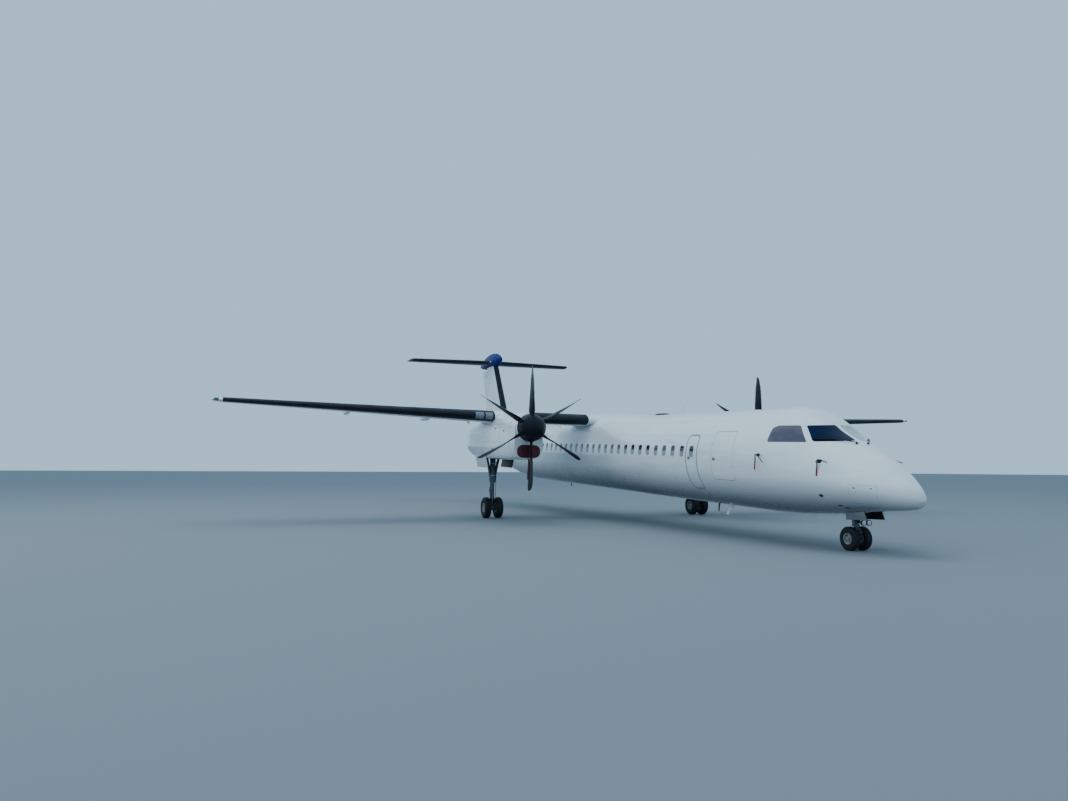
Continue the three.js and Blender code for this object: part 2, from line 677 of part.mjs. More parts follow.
function addWheels(gear, name, y, bore) {
  [['left', 1], ['right', -1]].forEach(([hand, side]) => {
    const wheel = new THREE.Group();
    wheel.position.copy(at(gear.station, y + (side * gear.spacing) / 2, axleHeight(gear)));
    airframe.add(wheel);
    add(`${name}_tyre_${hand}`, tyre(gear), 'rubber', wheel);
    add(`${name}_rim_${hand}`, rim(gear, bore), 'grey', wheel);
  });
}

[['left', 1], ['right', -1]].forEach(([hand, side]) => {
  const y = side * NACELLE_Y;
  add(`nacelle_${hand}`, nacelle(y), 'white');

  const engine = new THREE.Group();
  engine.position.set(0, y, 0);
  airframe.add(engine);
  const shaftEnds = [SHAFT.front, ENGINE.station[0] + 40].map((station) => at(station, 0, PROPELLER_HEIGHT));
  const shaft = bar(...shaftEnds, SHAFT.radius, 16);
  add(`engine_${hand}`, join([block(ENGINE.station, ENGINE.y, ENGINE.height), shaft]), 'steel', engine);
  const plug = roundedRectangle(
    INTAKE.y.map((n) => n - Math.sign(n) * FIT),
    [INTAKE.height[0] + FIT, INTAKE.height[1] - FIT],
    INTAKE.radius,
  );
  const lip = NACELLE[0][0];
  const cover = prism('front', plug, lip - INTAKE_COVER.proud, lip + INTAKE_COVER.deep);
  add(`intake_cover_${hand}`, cover, 'red', engine);

  const disc = new THREE.Group();
  disc.position.copy(at(PROPELLER_STATION, y, PROPELLER_HEIGHT));
  airframe.add(disc);
  add(`propeller_${hand}`, propeller, 'charcoal', disc);
  add(`spinner_${hand}`, spinner, 'charcoal', disc);

  add(`main_gear_leg_${hand}`, mainLeg(y), 'steel');
  addWheels(MAIN_GEAR, `main_${hand}`, y, MAIN_LEG.axle + WHEEL_SLACK);
});

// Nose landing gear: a fixed leg, and a fork that steers
const NOSE_LEG = { axle: 34, axleHalf: 232, root: -760, steer: -1395 };
const NOSE_BAY = { station: [1450, 2150], half: 235, mouth: -1500 };
const LAMP = { y: 74, height: -1350, ahead: [270, 350], radius: [60, 66] };

fuselage = fuselage.subtract(solid(block(
  NOSE_BAY.station,
  [-NOSE_BAY.half, NOSE_BAY.half],
  [NOSE_BAY.mouth, NOSE_LEG.root],
)));

const nosePoint = ([y, height, aft]) => at(NOSE_GEAR.station + aft, y, height);
// Bars from [y, height, aft] to [y, height, aft], with a radius, a count of sides
// and, on a lamp, the radius of the glass
const noseBars = (rows) => rows.map(([from, to, radius, sides, endRadius]) => (
  bar(nosePoint(from), nosePoint(to), radius, sides, endRadius)
));
add('nose_gear_leg', join(noseBars([
  [[0, NOSE_LEG.root - FIT, 0], [0, NOSE_LEG.steer, 0], 82, 12], // cylinder
  [[0, -1180, 0], [0, -1240, 0], 108, 12], // its collar
  [[0, -1330, -40], [0, NOSE_LEG.root - 50, -430], 32, 8], // drag stay
  ...[-1, 1].flatMap((side) => [
    [[0, LAMP.height, -50], [side * LAMP.y, LAMP.height, -LAMP.ahead[0] - 10], 20, 6], // lamp arm
    [[side * LAMP.y, LAMP.height, -LAMP.ahead[0]], [side * LAMP.y, LAMP.height, -LAMP.ahead[1]],
      LAMP.radius[0], 12, LAMP.radius[1]],
    [[0, -1200, 0], [side * 200, NOSE_LEG.root - 60, 0], 28, 8], // side stay
  ]),
])), 'steel');

const noseAxle = axleHeight(NOSE_GEAR);
const TOW_LUG = { length: 95, half: [35, 30] };
add('nose_gear_fork', join([
  ...noseBars([
    [[0, NOSE_LEG.steer - 6, 0], [0, NOSE_LEG.steer - 70, 0], 84, 12], // steering collar
    [[0, NOSE_LEG.steer - 40, 0], [0, noseAxle, 0], 48, 12], // piston
    [[-80, noseAxle, 0], [80, noseAxle, 0], 58, 12], // axle housing
    [[-NOSE_LEG.axleHalf, noseAxle, 0], [NOSE_LEG.axleHalf, noseAxle, 0], NOSE_LEG.axle, 12], // axle
  ]),
  block(
    [NOSE_GEAR.station - TOW_LUG.length, NOSE_GEAR.station],
    [-TOW_LUG.half[0], TOW_LUG.half[0]],
    [noseAxle - TOW_LUG.half[1], noseAxle + TOW_LUG.half[1]],
  ),
]), 'steel');
addWheels(NOSE_GEAR, 'nose', 0, NOSE_LEG.axle + WHEEL_SLACK);

// The front pair shuts again once the gear is down and is part of the skin, so this is the
// rear pair: station and height round a door, from its rear edge
const NOSE_DOOR = [[2030, -1000], [2000, -1310], [1800, -1285], [1360, -1255], [1480, -1000]];
const NOSE_DOOR_SIDES = [5, 27].map((offset) => NOSE_BAY.half + offset);
[['left', 1], ['right', -1]].forEach(([hand, side]) => {
  const plate = solid(prism('side', NOSE_DOOR, ...NOSE_DOOR_SIDES.map((y) => side * y)));
  add(`nose_gear_door_${hand}`, plate.subtract(hullGrown), 'charcoal');
});

// Jacking pad under the nose and blade aerials on crown and belly
const NOSE_PAD = at(3300, 0, -1290 - PAD.reach);
// station of the foot, height of the foot, height of the tip, chord, rake aft
const AERIALS = [[9400, 1330, 1630, 330, 130], [6900, -1330, -1640, 300, 150]];
const aerial = ([station, foot, tip, chord, rake]) => {
  const ends = [[foot, 0, 1], [tip, rake, 0.55]]; // height, aft, share of the chord
  return loft(ends.map(([height, aft, share]) => (
    foil(chord * share, 0.12, 0, 1, { camber: 0 }).map(([x, z]) => at(station + aft + x, z, height))
  )));
};
fuselage = fuselage
  .add(solid(bar(NOSE_PAD.clone().setZ(-1200), NOSE_PAD, PAD.radius)))
  .add(join(AERIALS.map(aerial)));

// Tail
// height, leading edge, fore rudder hinge, trailing edge
const FIN = [
  [1100, 27200, 29608, 30857],
  [4700, 29576, 31203, 32401],
];
const FIN_THICKNESS = 0.12;
const REAR_HINGE = 0.56; // where the trailing rudder begins, between fore hinge and trailing edge
const RUDDER = { bottom: 1335, top: 4370, finGap: 165, splitGap: 90 };

function finLoft(heights, start, end, grow = 0) {
  return loft(heights.map((height) => {
    const [, front, hinge, rear] = mixRows(FIN, height);
    const chord = rear - front;
    const split = hinge + REAR_HINGE * (rear - hinge);
    const places = { start: front, hinge, split, end: rear };
    const [from, to] = [start, end].map(([place, shift]) => (places[place] + shift - front) / chord);
    const section = foil(chord, FIN_THICKNESS, from, to, { camber: 0, grow });
    return section.map(([x, z]) => at(front + x, z, height));
  }));
}

// Ridge that runs forward from the fin along the crown
const DORSAL = [[24500, 1250], [24500, 1345], [26700, 1640], [28300, 2300], [29000, 2300], [29000, 1250]];

// T-tail
// y, leading edge station, leading edge height, chord, thickness ratio
const STABILIZER = [
  [0, 29780, 4765, 2100, 0.12],
  [4540, 30370, 4765, 1360, 0.13],
  [4635, 30520, 4765, 1130, 0.06],
];
function stabilizerLoft(ys, from, to, grow = 0) {
  return loft(ys.map((y) => {
    const [, station, height, chord, thickness] = mixRows(STABILIZER, Math.abs(y));
    const section = foil(chord, thickness, from, to, { camber: 0, grow });
    return section.map(([x, z]) => at(station + x, y, height + z));
  }));
}
// station, top, bottom, half width, height of the widest point
const BULLET = [
  [28800, 4885, 4885, 0, 4885],
  [28870, 4975, 4800, 80, 4880],
  [29200, 5130, 4640, 190, 4860],
  [29700, 5265, 4520, 265, 4840],
  [30300, 5300, 4455, 290, 4820],
  [31000, 5240, 4450, 275, 4790],
  [31700, 5060, 4500, 195, 4750],
  [32300, 4890, 4590, 100, 4725],
  [32880, 4715, 4715, 0, 4715],
];
const bullet = (grow) => loft(BULLET.map((row) => hoop(row, { sides: 20, grow })));

const stabilizerSpan = (grow) => stabilizerLoft([-4540, 0, 4540], 0, STABILIZER_CUT, grow);
const stabilizerTips = [-1, 1].map((side) => stabilizerLoft([4490, 4540, 4635].map((y) => side * y), 0, 1));
add('stabilizer', join([stabilizerSpan(0), ...stabilizerTips]), 'white');
add('bullet_fairing', solid(bullet(0)).subtract(solid(stabilizerSpan(FIT))), 'cap');
[['left', 1], ['right', -1]].forEach(([hand, side]) => {
  add(`elevator_${hand}`, stabilizerLoft([420, 4470].map((y) => side * y), ELEVATOR_START, 1), 'white');
});

const dorsal = solid(prism('side', DORSAL, -45, 45));
add('fin', solid(finLoft([1100, 4700], ['start', 0], ['hinge', -RUDDER.finGap]))
  .add(dorsal)
  .subtract(hullGrown)
  .subtract(solid(bullet(FIT)))
  .subtract(solid(stabilizerSpan(FIT))), 'white');
const rudderHeights = [RUDDER.bottom, RUDDER.top];
add('fore_rudder', finLoft(rudderHeights, ['hinge', 0], ['split', -RUDDER.splitGap]), 'white');
add('trailing_rudder', finLoft(rudderHeights, ['split', 0], ['end', 0]), 'white');

add('fuselage', fuselage, 'white');

airframe.rotation.y = PITCH;
airframe.position.set(ORIGIN_STATION, 0, DATUM_HEIGHT);

const group = new THREE.Group();
group.add(airframe);

export default group;
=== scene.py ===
import math

import bmesh
import bpy
from mathutils import Matrix, Vector


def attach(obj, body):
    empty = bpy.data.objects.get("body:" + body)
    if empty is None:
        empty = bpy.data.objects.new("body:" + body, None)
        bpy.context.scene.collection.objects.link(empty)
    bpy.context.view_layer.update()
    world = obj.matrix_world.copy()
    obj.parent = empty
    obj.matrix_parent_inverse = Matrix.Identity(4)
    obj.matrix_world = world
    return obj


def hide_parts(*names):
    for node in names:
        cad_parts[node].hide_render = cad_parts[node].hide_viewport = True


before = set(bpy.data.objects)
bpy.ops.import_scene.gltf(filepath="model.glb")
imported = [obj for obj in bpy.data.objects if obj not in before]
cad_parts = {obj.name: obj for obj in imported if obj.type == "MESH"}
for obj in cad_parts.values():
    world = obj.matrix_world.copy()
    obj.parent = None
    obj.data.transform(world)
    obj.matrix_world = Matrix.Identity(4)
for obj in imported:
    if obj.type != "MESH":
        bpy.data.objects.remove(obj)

# How the airliner stands: two degrees nose-down on its gear. Its own axes are a station aft
# of the nose, y to port and a height above the axis of the round cabin, all in metres.
NOSE_DOWN = math.radians(2)
ORIGIN_STATION = 16.386
DATUM_HEIGHT = 1.9395
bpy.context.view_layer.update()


def spot(station, y, height):
    """A point of the airframe, in the row frame."""
    return Vector((
        ORIGIN_STATION - station * math.cos(NOSE_DOWN) + height * math.sin(NOSE_DOWN),
        y,
        DATUM_HEIGHT + station * math.sin(NOSE_DOWN) + height * math.cos(NOSE_DOWN),
    ))


FORWARD = spot(-1, 0, 0) - spot(0, 0, 0)
UPWARD = spot(0, 0, 1) - spot(0, 0, 0)
TO_PORT = Vector((0, 1, 0))
HANDS = (("left", 1), ("right", -1))

# The camera stands at a person's eye height off the starboard bow, about 18 m from the nose.
EYE = Vector((29.2735, -13.424, 1.8315))
HEADING, TILT, ROLL = (math.radians(angle) for angle in (159.71, 4.8674, 0.2746))
SENSOR = 36
FOCAL_LENGTH = 27.077
sight = Vector((math.cos(HEADING) * math.cos(TILT), math.sin(HEADING) * math.cos(TILT), math.sin(TILT)))
level = sight.cross(Vector((0, 0, 1))).normalized()
lens = bpy.data.cameras.new("camera")
lens.sensor_width = SENSOR
lens.lens = FOCAL_LENGTH
lens.clip_end = 1000
camera = bpy.data.objects.new("camera", lens)
across = Matrix.Rotation(ROLL, 3, -sight) @ level
camera.matrix_world = Matrix.Translation(EYE) @ Matrix(
    (across, across.cross(sight), -sight)
).transposed().to_4x4()
bpy.context.scene.collection.objects.link(camera)
bpy.context.scene.camera = camera


# Fuselage: a pressurised aluminium tube with chemically bonded stringers, riveted frames and
# a tapering tail cone, sprayed with white polyurethane gloss. The nose droops to a blunt
# radome. Doors, panes and the nose gear bay are cut through the skin.
def linear(value):
    """An sRGB hex colour as linear RGBA."""
    channels = [int(value[i:i + 2], 16) / 255 for i in (1, 3, 5)]
    return [*(c / 12.92 if c <= 0.04045 else ((c + 0.055) / 1.055) ** 2.4 for c in channels), 1]


def add(tree, kind, inputs=(), **settings):
    """Adds a node with its settings; inputs are pairs of a socket and a value or a link."""
    made = tree.nodes.new(kind)
    for name, value in settings.items():
        setattr(made, name, value)
    for socket, value in inputs:
        if isinstance(value, bpy.types.NodeSocket):
            tree.links.new(value, made.inputs[socket])
        else:
            made.inputs[socket].default_value = value
    return made


def material(name, colour, roughness, metallic=0.0, **sockets):
    """A material with its Principled shader: colour, roughness and any other sockets."""
    made = bpy.data.materials.new(name)
    made.use_nodes = True
    shader = made.node_tree.nodes["Principled BSDF"]
    shader.inputs["Base Color"].default_value = linear(colour)
    shader.inputs["Roughness"].default_value = roughness
    shader.inputs["Metallic"].default_value = metallic
    for socket, value in sockets.items():
        shader.inputs[socket.replace("_", " ")].default_value = value
    return made


def vary(made, colours, size, stretch=(1, 1, 1), roughness=None, bump=0.0, detail=4.0):
    """Colour, roughness and relief that wander over a surface at a real size in metres."""
    tree = made.node_tree
    shader = tree.nodes["Principled BSDF"]
    place = add(tree, "ShaderNodeTexCoord").outputs["Object"]
    turned = add(
        tree, "ShaderNodeMapping",
        [("Vector", place), ("Scale", stretch), ("Rotation", (0, -NOSE_DOWN, 0))],
    )
    wander = add(tree, "ShaderNodeTexNoise", [
        ("Vector", turned.outputs["Vector"]), ("Scale", 1 / size), ("Detail", detail), ("Roughness", 0.6),
    ]).outputs["Fac"]
    share = add(tree, "ShaderNodeMapRange", [("Value", wander), ("From Min", 0.35), ("From Max", 0.65)])
    mixed = add(tree, "ShaderNodeMix", [
        ("Factor", share.outputs["Result"]), (6, linear(colours[0])), (7, linear(colours[1])),
    ], data_type="RGBA")
    tree.links.new(mixed.outputs[2], shader.inputs["Base Color"])
    if roughness:
        sheen = add(
            tree, "ShaderNodeMapRange",
            [
                ("Value", wander), ("From Min", 0.3), ("From Max", 0.7), ("To Min", roughness[0]),
                ("To Max", roughness[1]),
            ],
        )
        tree.links.new(sheen.outputs["Result"], shader.inputs["Roughness"])
    if bump:
        relief = add(tree, "ShaderNodeBump", [("Height", wander), ("Strength", 1.0), ("Distance", bump)])
        tree.links.new(relief.outputs["Normal"], shader.inputs["Normal"])
    return made


def led_over(made, colour, high, low, most=1.0):
    """Leads a surface over to another colour, from one height above the cabin's axis to a lower."""
    tree = made.node_tree
    shader = tree.nodes["Principled BSDF"]
    place = add(tree, "ShaderNodeTexCoord").outputs["Object"]
    raised = add(tree, "ShaderNodeVectorMath", [(0, place), (1, UPWARD)], operation="DOT_PRODUCT")
    datum = spot(0, 0, 0).dot(UPWARD)
    share = add(
        tree, "ShaderNodeMapRange",
        [
            ("Value", raised.outputs["Value"]), ("From Min", datum + high), ("From Max", datum + low),
            ("To Max", most),
        ],
    )
    upper = shader.inputs["Base Color"].links[0].from_socket
    mixed = add(tree, "ShaderNodeMix", [
        ("Factor", share.outputs["Result"]), (6, upper), (7, linear(colour)),
    ], data_type="RGBA")
    tree.links.new(mixed.outputs[2], shader.inputs["Base Color"])
    return made


# Polyurethane gloss over aluminium: a clear wet shine, faintly uneven where skin panels
# stretch over frames half a metre apart. The belly is led over to dark grey: painted shade under the cabin.
white_gloss = led_over(vary(
    material("polyurethane_gloss_white", "#E6ECF0", 0.3, Coat_Weight=1.0, Coat_Roughness=0.03, Coat_IOR=1.6),
    ("#E8EEF2", "#DCE4E9"), 0.55, (0.35, 1, 1.6), (0.22, 0.38), 0.00006, 2.0,
), "#56626A", -0.40, -1.20)
# Joint sealant between skin panels: matt dark grey, drawn 9 mm wide where it is really 2 mm,
# because nothing finer shows from where the camera stands.
joint_sealant = vary(material("polysulphide_sealant", "#6F777C", 0.7), ("#79828A", "#5F676D"), 0.12)
# The same sealant under a coat of the white paint, where panels are butted: hardly darker.
# Like the paint, it is led over to dark grey on the belly: painted shade.
painted_joint = led_over(
    vary(material("overpainted_sealant", "#BCC5CB", 0.5), ("#C3CBD0", "#B2BCC2"), 0.3), "#4A555D", -0.40,
    -1.20,
)
# Zinc chromate primer and grey enamel in bays and door recesses: dull, greasy at the corners.
bay_enamel = vary(
    material("bay_enamel_grey", "#8B9094", 0.5), ("#979DA0", "#6E7376"), 0.2, (1, 1, 1), (0.4, 0.65), 0.001,
)


def smooth_row(table, key):
    """A table's row at any value of its first column, on a smooth curve without overshoot."""
    last = len(table) - 2
    i = min(last, max(0, sum(1 for row in table if row[0] <= key) - 1))

    def slope(n, column):
        return (table[n + 1][column] - table[n][column]) / (table[n + 1][0] - table[n][0])

    def tangent(n, column):
        if n in (0, last + 1):
            return slope(min(n, last), column)
        before, after = slope(n - 1, column), slope(n, column)
        return 0 if before * after <= 0 else 2 * before * after / (before + after)

    width = table[i + 1][0] - table[i][0]
    t = (key - table[i][0]) / width
    return [key] + [
        table[i][c] * (1 + 2 * t) * (1 - t) ** 2 + tangent(i, c) * width * t * (1 - t) ** 2
        + table[i + 1][c] * t * t * (3 - 2 * t) + tangent(i + 1, c) * width * t * t * (t - 1)
        for c in range(1, len(table[i]))
    ]


def hoop(row, sides, y=0.0, grow=0.0, powers=(2, 2)):
    """A body's section: two half super-ellipses that meet at the widest height."""
    station, top, bottom, half, waist = row
    if half == 0:
        return [spot(station, y, waist)]
    ring = []
    for i in range(sides):
        turn = 2 * math.pi * i / sides
        c, s = math.cos(turn), math.sin(turn)
        power = 2 / (powers[0] if s >= 0 else powers[1])
        rise = (top - waist if s >= 0 else waist - bottom) + grow
        ring.append(spot(
            station,
            y + (half + grow) * math.copysign(abs(c) ** power, c),
            waist + rise * math.copysign(abs(s) ** power, s),
        ))
    return ring


def loft(rings, loop=False):
    """Corners and faces of rings joined in a row; a ring of one point is a tip."""
    corners, faces, starts = [], [], []
    for ring in rings:
        starts.append(len(corners))
        corners += ring
    pairs = list(zip(range(len(rings) - 1), range(1, len(rings))))
    if loop:
        pairs.append((len(rings) - 1, 0))
    for a, b in pairs:
        count = max(len(rings[a]), len(rings[b]))
        for i in range(count):
            j = (i + 1) % count
            near = [starts[a] + (k if len(rings[a]) > 1 else 0) for k in (i, j)]
            far = [starts[b] + (k if len(rings[b]) > 1 else 0) for k in (j, i)]
            faces.append(tuple(dict.fromkeys(near + far)))
    for k in () if loop else (0, len(rings) - 1):
        if len(rings[k]) > 1:
            faces.append(tuple(range(starts[k], starts[k] + len(rings[k]))))
    return corners, faces


def together(shapes):
    """Several shapes as one."""
    corners, faces = [], []
    for more_corners, more_faces in shapes:
        first = len(corners)
        corners += more_corners
        faces += [tuple(first + k for k in face) for face in more_faces]
    return corners, faces


def shade(mesh, sharp):
    """Smooth faces, with every edge sharper than an angle in degrees left crisp."""
    mesh.polygons.foreach_set("use_smooth", [True] * len(mesh.polygons))
    mesh.set_sharp_from_angle(angle=math.radians(sharp))


def make(name, shape, finish, sharp=35):
    """A mesh object from corners and faces, faces outwards, smooth up to the sharp angle."""
    mesh = bpy.data.meshes.new(name)
    mesh.from_pydata(shape[0], [], shape[1])
    form = bmesh.new()
    form.from_mesh(mesh)
    bmesh.ops.remove_doubles(form, verts=form.verts, dist=1e-6)
    bmesh.ops.recalc_face_normals(form, faces=form.faces)
    form.to_mesh(mesh)
    form.free()
    shade(mesh, sharp)
    mesh.materials.append(finish)
    made = bpy.data.objects.new(name, mesh)
    bpy.context.scene.collection.objects.link(made)
    return made


def fix(made, body, slot, *nodes):
    """The finished piece moves with a body and may stand for nodes; its slot is not used."""
    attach(made, body)
    if nodes:
        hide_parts(*nodes)
    return made


def piece(name, shape, finish, body, slot, *nodes, sharp=35):
    """Makes a piece from a shape and fixes it."""
    return fix(make(name, shape, finish, sharp), body, slot, *nodes)


def plain(made):
    """The object with its modifiers turned to plain mesh."""
    bpy.context.view_layer.update()
    graph = bpy.context.evaluated_depsgraph_get()
    mesh = bpy.data.meshes.new_from_object(made.evaluated_get(graph))
    made.modifiers.clear()
    made.data = mesh
    return made


def cut_by(made, tool):
    """Takes a tool's shape out of a piece; a cut wall takes the tool's own finish."""
    cut = made.modifiers.new("cut", "BOOLEAN")
    cut.operation = "DIFFERENCE"
    cut.solver = "EXACT"
    cut.material_mode = "TRANSFER"
    cut.object = tool
    plain(made)
    bpy.data.objects.remove(tool)


def carve(made, cutters):
    """Cuts shapes out of a piece one after the other, each with the finish of its walls."""
    for shape, finish in cutters:
        cut_by(made, make("cutter", shape, finish))
    shade(made.data, 35)


def prism(view, outline, near, far):
    """An outline pushed along one axis: side [station, height], front [y, height], plan [station, y]."""
    place = {
        "side": lambda a, b, depth: spot(a, depth, b),
        "front": lambda a, b, depth: spot(depth, a, b),
        "plan": lambda a, b, depth: spot(a, b, depth),
    }[view]
    return loft([[place(a, b, depth) for a, b in outline] for depth in (near, far)])


def filled(outline, pitch):
    """The outline with points along its long edges, so that it can follow a curved skin."""
    close = []
    for a, b in zip(outline, outline[1:] + outline[:1]):
        count = max(1, round(math.dist(a, b) / pitch))
        close += [tuple(p + (q - p) * k / count for p, q in zip(a, b)) for k in range(count)]
    return close


def between(start, end, count):
    """A straight path in even parts."""
    return [tuple(a + (b - a) * k / count for a, b in zip(start, end)) for k in range(count + 1)]


def joined(arcs, along):
    """One outline from its corners' arcs, with the straight runs between them in even parts."""
    outline = []
    for arc, following in zip(arcs, arcs[1:] + arcs[:1]):
        start, end = arc[-1], following[0]
        outline += arc + between(start, end, along)[1:-1]
    return outline


def rounded(left, right, low, high, radius, steps=6, along=16):
    """A rectangle's outline with round corners."""
    arcs = []
    for x, y, start in ((right, low, -0.5), (right, high, 0), (left, high, 0.5), (left, low, 1)):
        centre_x = x - radius if x == right else x + radius
        centre_y = y - radius if y == high else y + radius
        turns = [math.pi * (start + k / steps / 2) for k in range(steps + 1)]
        arcs.append(
            [(centre_x + radius * math.cos(turn), centre_y + radius * math.sin(turn)) for turn in turns]
        )
    return joined(arcs, along)


def grown_by(g, left, right, low, high, radius, *detail):
    """A round-cornered rectangle's outline, moved out by a distance on all sides."""
    return rounded(left - g, right + g, low - g, high + g, radius + g, *detail)


# station, top, bottom, half width, height of the widest point
HULL = [
    (0.050, -0.760, -0.760, 0.000, -0.760),
    (0.090, -0.650, -0.860, 0.130, -0.750),
    (0.200, -0.500, -0.930, 0.250, -0.720),
    (0.500, -0.220, -0.985, 0.440, -0.660),
    (1.000, 0.090, -1.040, 0.690, -0.570),
    (1.500, 0.330, -1.100, 0.910, -0.460),
    (2.000, 0.560, -1.170, 1.070, -0.350),
    (2.400, 0.760, -1.215, 1.165, -0.260),
    (2.800, 1.040, -1.250, 1.235, -0.190),
    (3.200, 1.250, -1.285, 1.280, -0.120),
    (3.800, 1.355, -1.320, 1.325, -0.040),
    (4.800, 1.345, -1.345, 1.345, 0.000),
    (21.500, 1.345, -1.345, 1.345, 0.000),
    (23.000, 1.345, -1.280, 1.335, 0.010),
    (25.000, 1.340, -1.010, 1.255, 0.090),
    (27.000, 1.325, -0.600, 1.080, 0.260),
    (29.000, 1.270, -0.130, 0.780, 0.480),
    (30.500, 1.180, 0.230, 0.500, 0.660),
    (31.500, 1.060, 0.500, 0.260, 0.760),
    (31.900, 0.940, 0.640, 0.120, 0.790),
]
RADOME_END = 0.640
HULL_SIDES = 128
# stations of the radome's rings, closest at the tip
NOSE_RAMP = (0.05, 0.055, 0.065, 0.08, 0.1, 0.13, 0.17, 0.22, 0.28, 0.35, 0.43, 0.52, 0.6)


def hull(stations, grow=0.0):
    """The fuselage's form through stations, grown by a distance."""
    return loft([hoop(smooth_row(HULL, station), HULL_SIDES, grow=grow) for station in stations])


def side_of(table, side, y=0.0, powers=(2, 2)):
    """The skin of a lofted body seen from one side: station, height and how far proud."""
    def flat(station, height):
        row = smooth_row(table, station)
        power = powers[0] if height >= row[4] else powers[1]
        rise = (row[1] if height >= row[4] else row[2]) - row[4]
        share = min(1.0, abs((height - row[4]) / rise))
        return spot(station, y + side * row[3] * (1 - share ** power) ** (1 / power), height)

    def skin(station, height, proud=0.0):
        step = 0.004
        along = flat(station + step, height) - flat(station - step, height)
        rise = flat(station, height + step) - flat(station, height - step)
        out = along.cross(rise).normalized()
        return flat(station, height) + proud * (out if out.y * side > 0 else -out)
    return skin


def ahead_of(table):
    """The skin of the nose seen from the front: y, height and how far proud."""
    def flat(y, height):
        low, high = 0.3, 4.5
        for _ in range(40):
            middle = (low + high) / 2
            row = smooth_row(table, middle)
            rise = (row[1] if height >= row[4] else row[2]) - row[4]
            inside = (y / row[3]) ** 2 + ((height - row[4]) / rise) ** 2 < 1
            low, high = (low, middle) if inside else (middle, high)
        return spot(high, y, height)

    def skin(y, height, proud=0.0):
        step = 0.004
        out = (flat(y + step, height) - flat(y - step, height)).cross(
            flat(y, height + step) - flat(y, height - step)).normalized()
        return flat(y, height) + proud * (out if out.dot(FORWARD) > 0 else -out)
    return skin


def inward(outline, share):
    """An outline drawn in towards its middle by a share."""
    middle = [sum(point[k] for point in outline) / len(outline) for k in (0, 1)]
    return [tuple(middle[k] + (point[k] - middle[k]) * share for k in (0, 1)) for point in outline]


def patch_on(skin, outline, top, bottom, rings=8):
    """A plate that follows a skin, from so far proud of it to so far proud of it."""
    shares = [1 - k / rings for k in range(rings)]
    upper = [[skin(u, v, top) for u, v in inward(outline, share)] for share in shares]
    lower = [[skin(u, v, bottom) for u, v in inward(outline, share)] for share in shares]
    middle = inward(outline, 0)[0]
    return loft([[skin(*middle, top)], *reversed(upper), *lower, [skin(*middle, bottom)]])


def ring_on(skin, outer, inner, top, bottom):
    """A flat frame that follows a skin between two outlines."""
    return loft([
        [skin(u, v, bottom) for u, v in outer],
        [skin(u, v, top) for u, v in outer],
        [skin(u, v, top) for u, v in inner],
        [skin(u, v, bottom) for u, v in inner],
    ], loop=True)


# how far a drawn line reaches below its skin
LINE_DEPTH = -0.004


def line_on(skin, path, width, top):
    """A strip that follows a skin along a path, from below the skin to just proud of it."""
    rings = []
    for i, point in enumerate(path):
        before, after = path[max(0, i - 1)], path[min(len(path) - 1, i + 1)]
        run = Vector((after[0] - before[0], after[1] - before[1])).normalized() * width / 2
        sides = [(point[0] - run.y, point[1] + run.x), (point[0] + run.y, point[1] - run.x)]
        (a, b), (c, d) = sides
        rings.append([skin(a, b, LINE_DEPTH), skin(a, b, top), skin(c, d, top), skin(c, d, LINE_DEPTH)])
    return loft(rings)


# width of a joint's sealant, as drawn
SEAM = 0.009
# name, side, front, rear, bottom, top, corner radius, gap, floor of the recess or 0
DOORS = [
    ("passenger_door", 1, 4.45, 5.25, -0.93, 0.72, 0.12, 0.009, 0.72),
    ("forward_baggage_door", -1, 4.95, 5.95, -0.56, 0.715, 0.10, 0.009, 0.90),
    ("emergency_exit", -1, 6.70, 7.22, -0.85, 0.60, 0.11, 0.006, 0),
    ("service_door", -1, 22.65, 23.35, -0.70, 0.72, 0.11, 0.006, 0),
    ("aft_passenger_door", 1, 22.65, 23.35, -0.93, 0.72, 0.11, 0.006, 0),
    ("aft_baggage_door", 1, 24.30, 25.57, -0.56, 0.90, 0.11, 0.006, 0),
]
DOOR_SHUT_DEPTH = 0.04
SKIN_SIDES = {1: side_of(HULL, 1), -1: side_of(HULL, -1)}
# stations, half width and height of the roof of the nose gear's bay
NOSE_BAY = ((1.45, 2.15), 0.235, -0.76)


def steps(start, end, pitch):
    """Even values from start to end, about a pitch apart."""
    count = max(1, round((end - start) / pitch))
    return [start + (end - start) * k / count for k in range(count + 1)]


hull_stations = [
    *steps(RADOME_END + 0.0003, 4.8, 0.06), *steps(4.8, 21.5, 0.4)[1:], *steps(21.5, 31.9, 0.16)[1:],
]
fuselage = make("fuselage_skin", hull(hull_stations), white_gloss)
door_cuts = []
for name, side, front, rear, bottom, top, radius, gap, recess in DOORS:
    outline = grown_by(gap, front, rear, bottom, top, radius)
    if recess:
        door_cuts.append(prism("side", outline, side * recess, side * 1.6))
    else:
        door_cuts.append(patch_on(SKIN_SIDES[side], outline, 0.15, -DOOR_SHUT_DEPTH - 0.01))

# Flight deck glazing: laminated panes, heated and coated, bedded in black sealant and
# clamped under painted frames. The starboard windshield is dark; the side panes have shades,
# and the port windshield is painted pale, a painted reflection of the sky.
# corners of the openings: y and height for the windshield, station and height for the side window
WINDSHIELD = [(0.055, 0.51), (0.84, 0.47), (0.69, 0.86), (0.055, 0.88)]
SIDE_WINDOW = [(2.54, 0.455), (3.64, 0.45), (3.64, 0.80), (3.51, 0.86), (2.94, 0.86)]


